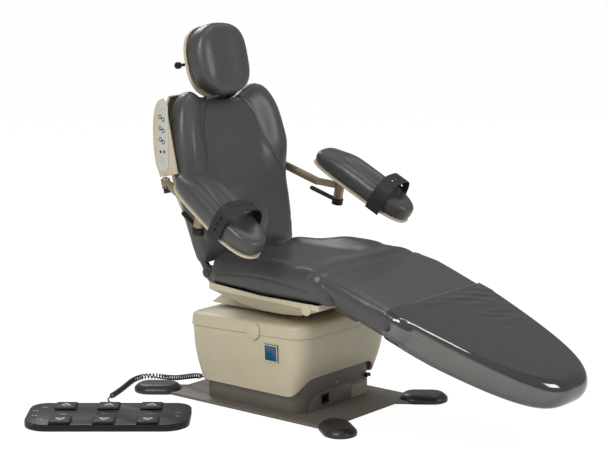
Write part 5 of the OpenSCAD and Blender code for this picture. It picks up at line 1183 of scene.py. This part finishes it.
# Foot control print: arrows on the pads, small reclining figures between them, and plain signs at both ends
pedal = {"at": (-0.586, 0.267), "turn": -51, "top": 0.022, "padTop": 0.0301, "pitch": 0.138, "shift": -0.006,
         "rear": 0.076, "front": -0.084, "arrow": 0.0185, "arrowWidth": 0.0066, "figureWidth": 0.0012,
         "movedWidth": 0.0034, "sign": 0.0045, "signWidth": 0.0022, "oval": (0.010, 0.007), "endWidth": 0.002,
         "ovalAt": (0.222, 0.012), "stopAt": (0.222, -0.030), "stopHalf": 0.006,
         # each figure is a chair seen from the side; its moved part is the one that the pads move
         "figures": [[(-0.020, 0.012, -0.008, 0.0), (-0.008, 0.0, 0.010, -0.001), (0.010, -0.001, 0.026, 0.002)],
                     [(-0.018, 0.010, -0.006, 0.0), (-0.006, 0.0, 0.012, 0.0), (0.012, 0.0, 0.028, 0.002)],
                     [(-0.019, 0.011, -0.007, 0.0), (-0.007, 0.0, 0.008, 0.001), (0.008, 0.001, 0.026, 0.001)]],
         "moved": [(-0.006, -0.006, 0.010, -0.006), (-0.016, 0.010, -0.008, 0.003), (0.002, 0.0, 0.012, 0.0)],
         "signs": [(-0.212, 0.072, 0.2), (-0.236, 0.030, 0.1), (-0.232, -0.022, -0.2), (-0.210, -0.066, -0.3)]}
pedalFrame = moveBy(*pedal["at"], 0) @ turnAbout("z", pedal["turn"])


# A place on the foot control, with the directions to its right and to its rear
def pedalPlane(x, y, z=pedal["top"]):
    return placed([[x, y, z]], pedalFrame)[0], pedalFrame[:3, 0], pedalFrame[:3, 1]


def makePedalPrint():
    marks = {"grey": [], "yellow": [], "white": [], "pink": []}
    for i, what in enumerate(("lift", "back", "tilt")):
        x = pedal["shift"] + (i - 1) * pedal["pitch"]
        for way, y, turn in (("up", pedal["rear"], math.pi / 2), ("down", pedal["front"], -math.pi / 2)):
            shape = regular((0, 0), pedal["arrow"], 3, turn) * [1.05, 0.85]
            arrow = ringMark("arrow", shape, pedal["arrowWidth"], *pedalPlane(x, y, pedal["padTop"]))
            dressMark(arrow, f"pad_print_{what}_{way}", "white", f"pad_{what}_{way}", "black_plastic")
        plane = pedalPlane(x, -0.004)
        for ends in pedal["figures"][i]:
            marks["grey"].append(plateMark("figure", bar(ends[:2], ends[2:], pedal["figureWidth"]), *plane))
        ends = pedal["moved"][i]
        marks["yellow"].append(plateMark("moved", bar(ends[:2], ends[2:], pedal["movedWidth"]), *plane))
    for x, y, turn in pedal["signs"]:
        for dx, bend in ((-0.006, 0.5), (0.004, -0.4)):
            end = pedal["sign"] * np.array([math.cos(turn + bend), math.sin(turn + bend)])
            marks["white"].append(plateMark("sign", bar(-end, end, pedal["signWidth"]), *pedalPlane(x + dx, y)))
    oval = regular((0, 0), 1, 28) * pedal["oval"]
    marks["pink"].append(ringMark("oval", oval, pedal["endWidth"], *pedalPlane(*pedal["ovalAt"])))
    stop = bar((-pedal["stopHalf"], 0), (pedal["stopHalf"], 0), pedal["endWidth"])
    marks["white"].append(plateMark("stop", stop, *pedalPlane(*pedal["stopAt"])))
    printMarks("pedal_print", marks, "base", "black_plastic")


makePedalPrint()

# Badge: its pale border, on the shroud's drafted side
badge = {"at": (-0.2418, -0.120, 0.213), "half": 0.0270, "border": 0.0030}
draft = math.atan2(shroud["half"] - shroud["midHalf"], shroud["bandZ"] - shroud["midZ"])
square = np.array([(-1, -1), (1, -1), (1, 1), (-1, 1)]) * badge["half"]
border = joined("badge_border", [ringMark("border", square, badge["border"], badge["at"], (0, -1, 0),
                                          (-math.sin(draft), 0, math.cos(draft)))])
outwards(border)
dress(border, materials["badgeBorder"], "lift", "badge_blue")

# Small fittings: the access panel's pale part, a screw in the skirt, and a round head on each side cap
detail = {"panel": [(0.074, 0.0125), (0.160, 0.0125), (0.160, 0.0545), (0.074, 0.0545)], "panelY": -0.2021,
          "screw": (0.0, -0.2003, 0.081), "capX": 0.2452, "capZ": 0.276,
          "screwProfile": [(0.0038, -0.001), (0.0038, 0.0006), (0.0026, 0.0016), (0.0008, 0.0018)],
          "capProfile": [(0.0075, -0.0005), (0.0075, 0.0004), (0.0068, 0.0008), (0.001, 0.0009)]}
panelMark = plateMark("panel_face", detail["panel"], (0, detail["panelY"], 0), (1, 0, 0), (0, 0, 1))
dress(panelMark, plainMaterial("panelGrey", "8d877b", 0.5), "base", "base_paint")
screwHead = turned("skirt_screw", detail["screw"], (0, -1, 0), (1, 0, 0), (0, 0, 1), detail["screwProfile"], 24)
dress(screwHead, materials["groundSteel"], "base", "base_paint")
for side in (-1, 1):
    screwHead = turned(f"cap_screw_{side}", (side * detail["capX"], chair["shroudSideY"], detail["capZ"]),
                       (side, 0, 0), (0, 1, 0), (0, 0, 1), detail["capProfile"], 24)
    dress(screwHead, materials["creamAbs"], "lift", "cream_shell")

# Grips: ribs round the arm levers and the headrest's knob
grips = {"from": (0.352, -0.133, 0.156), "to": (0.329, -0.062, 0.207), "radius": 0.0074, "thick": 0.0007,
         "ribs": 9, "ribSpan": (0.46, 0.94), "knobRibs": 12,
         "knob": (-0.1295, 0.033, chair["headUp"]), "knobRadius": 0.0107, "knobHalf": 0.0055, "knobRib": 0.0009}


# A round ring of that thickness about an axis: two circles, the small one swept round the large one
def ringAt(name, middle, along, radius, thick):
    along = np.array(along, float) / np.linalg.norm(along)
    first = np.cross(along, (0, 0, 1.0))
    first /= np.linalg.norm(first)
    a = np.linspace(0, 2 * np.pi, 32, endpoint=False)[:, None]
    away = (np.cos(a) * first + np.sin(a) * np.cross(along, first))[:, None]
    b = np.linspace(0, 2 * np.pi, 8, endpoint=False)[None, :, None]
    return loft(name, middle + radius * away + thick * (np.cos(b) * away + np.sin(b) * along), caps=False,
                closeRows=True)


# Joins ribs that were made in the back's frame, puts them in place and dresses them in black
def dressRibs(name, ribs, place, body):
    whole = joined(name, ribs)
    setCorners(whole, placed(corners(whole), place))
    outwards(whole)
    dress(whole, materials["blackAbs"], body, "black_plastic")


start, end = np.array(grips["from"]), np.array(grips["to"])
for side, name in ((1, "left"), (-1, "right")):
    ribs = [ringAt(f"rib_{name}_{k}", start + (end - start) * u, end - start, grips["radius"], grips["thick"])
            for k, u in enumerate(np.linspace(*grips["ribSpan"], grips["ribs"]))]
    dressRibs("lever_ribs_" + name, ribs, sideFrame(side, backFrame), "arm_lock_" + name)
ribs = []
for t in np.linspace(0, 2 * np.pi, grips["knobRibs"], endpoint=False):
    out = grips["knobRadius"] * np.array([0, math.cos(t), math.sin(t)])
    line = [grips["knob"] + out + (x, 0, 0) for x in (-grips["knobHalf"], 0, grips["knobHalf"])]
    ribs.append(tube("knob_rib", line, grips["knobRib"], 8))
dressRibs("knob_ribs", ribs, backFrame, "head_lock")
print("stage: prints and small details")
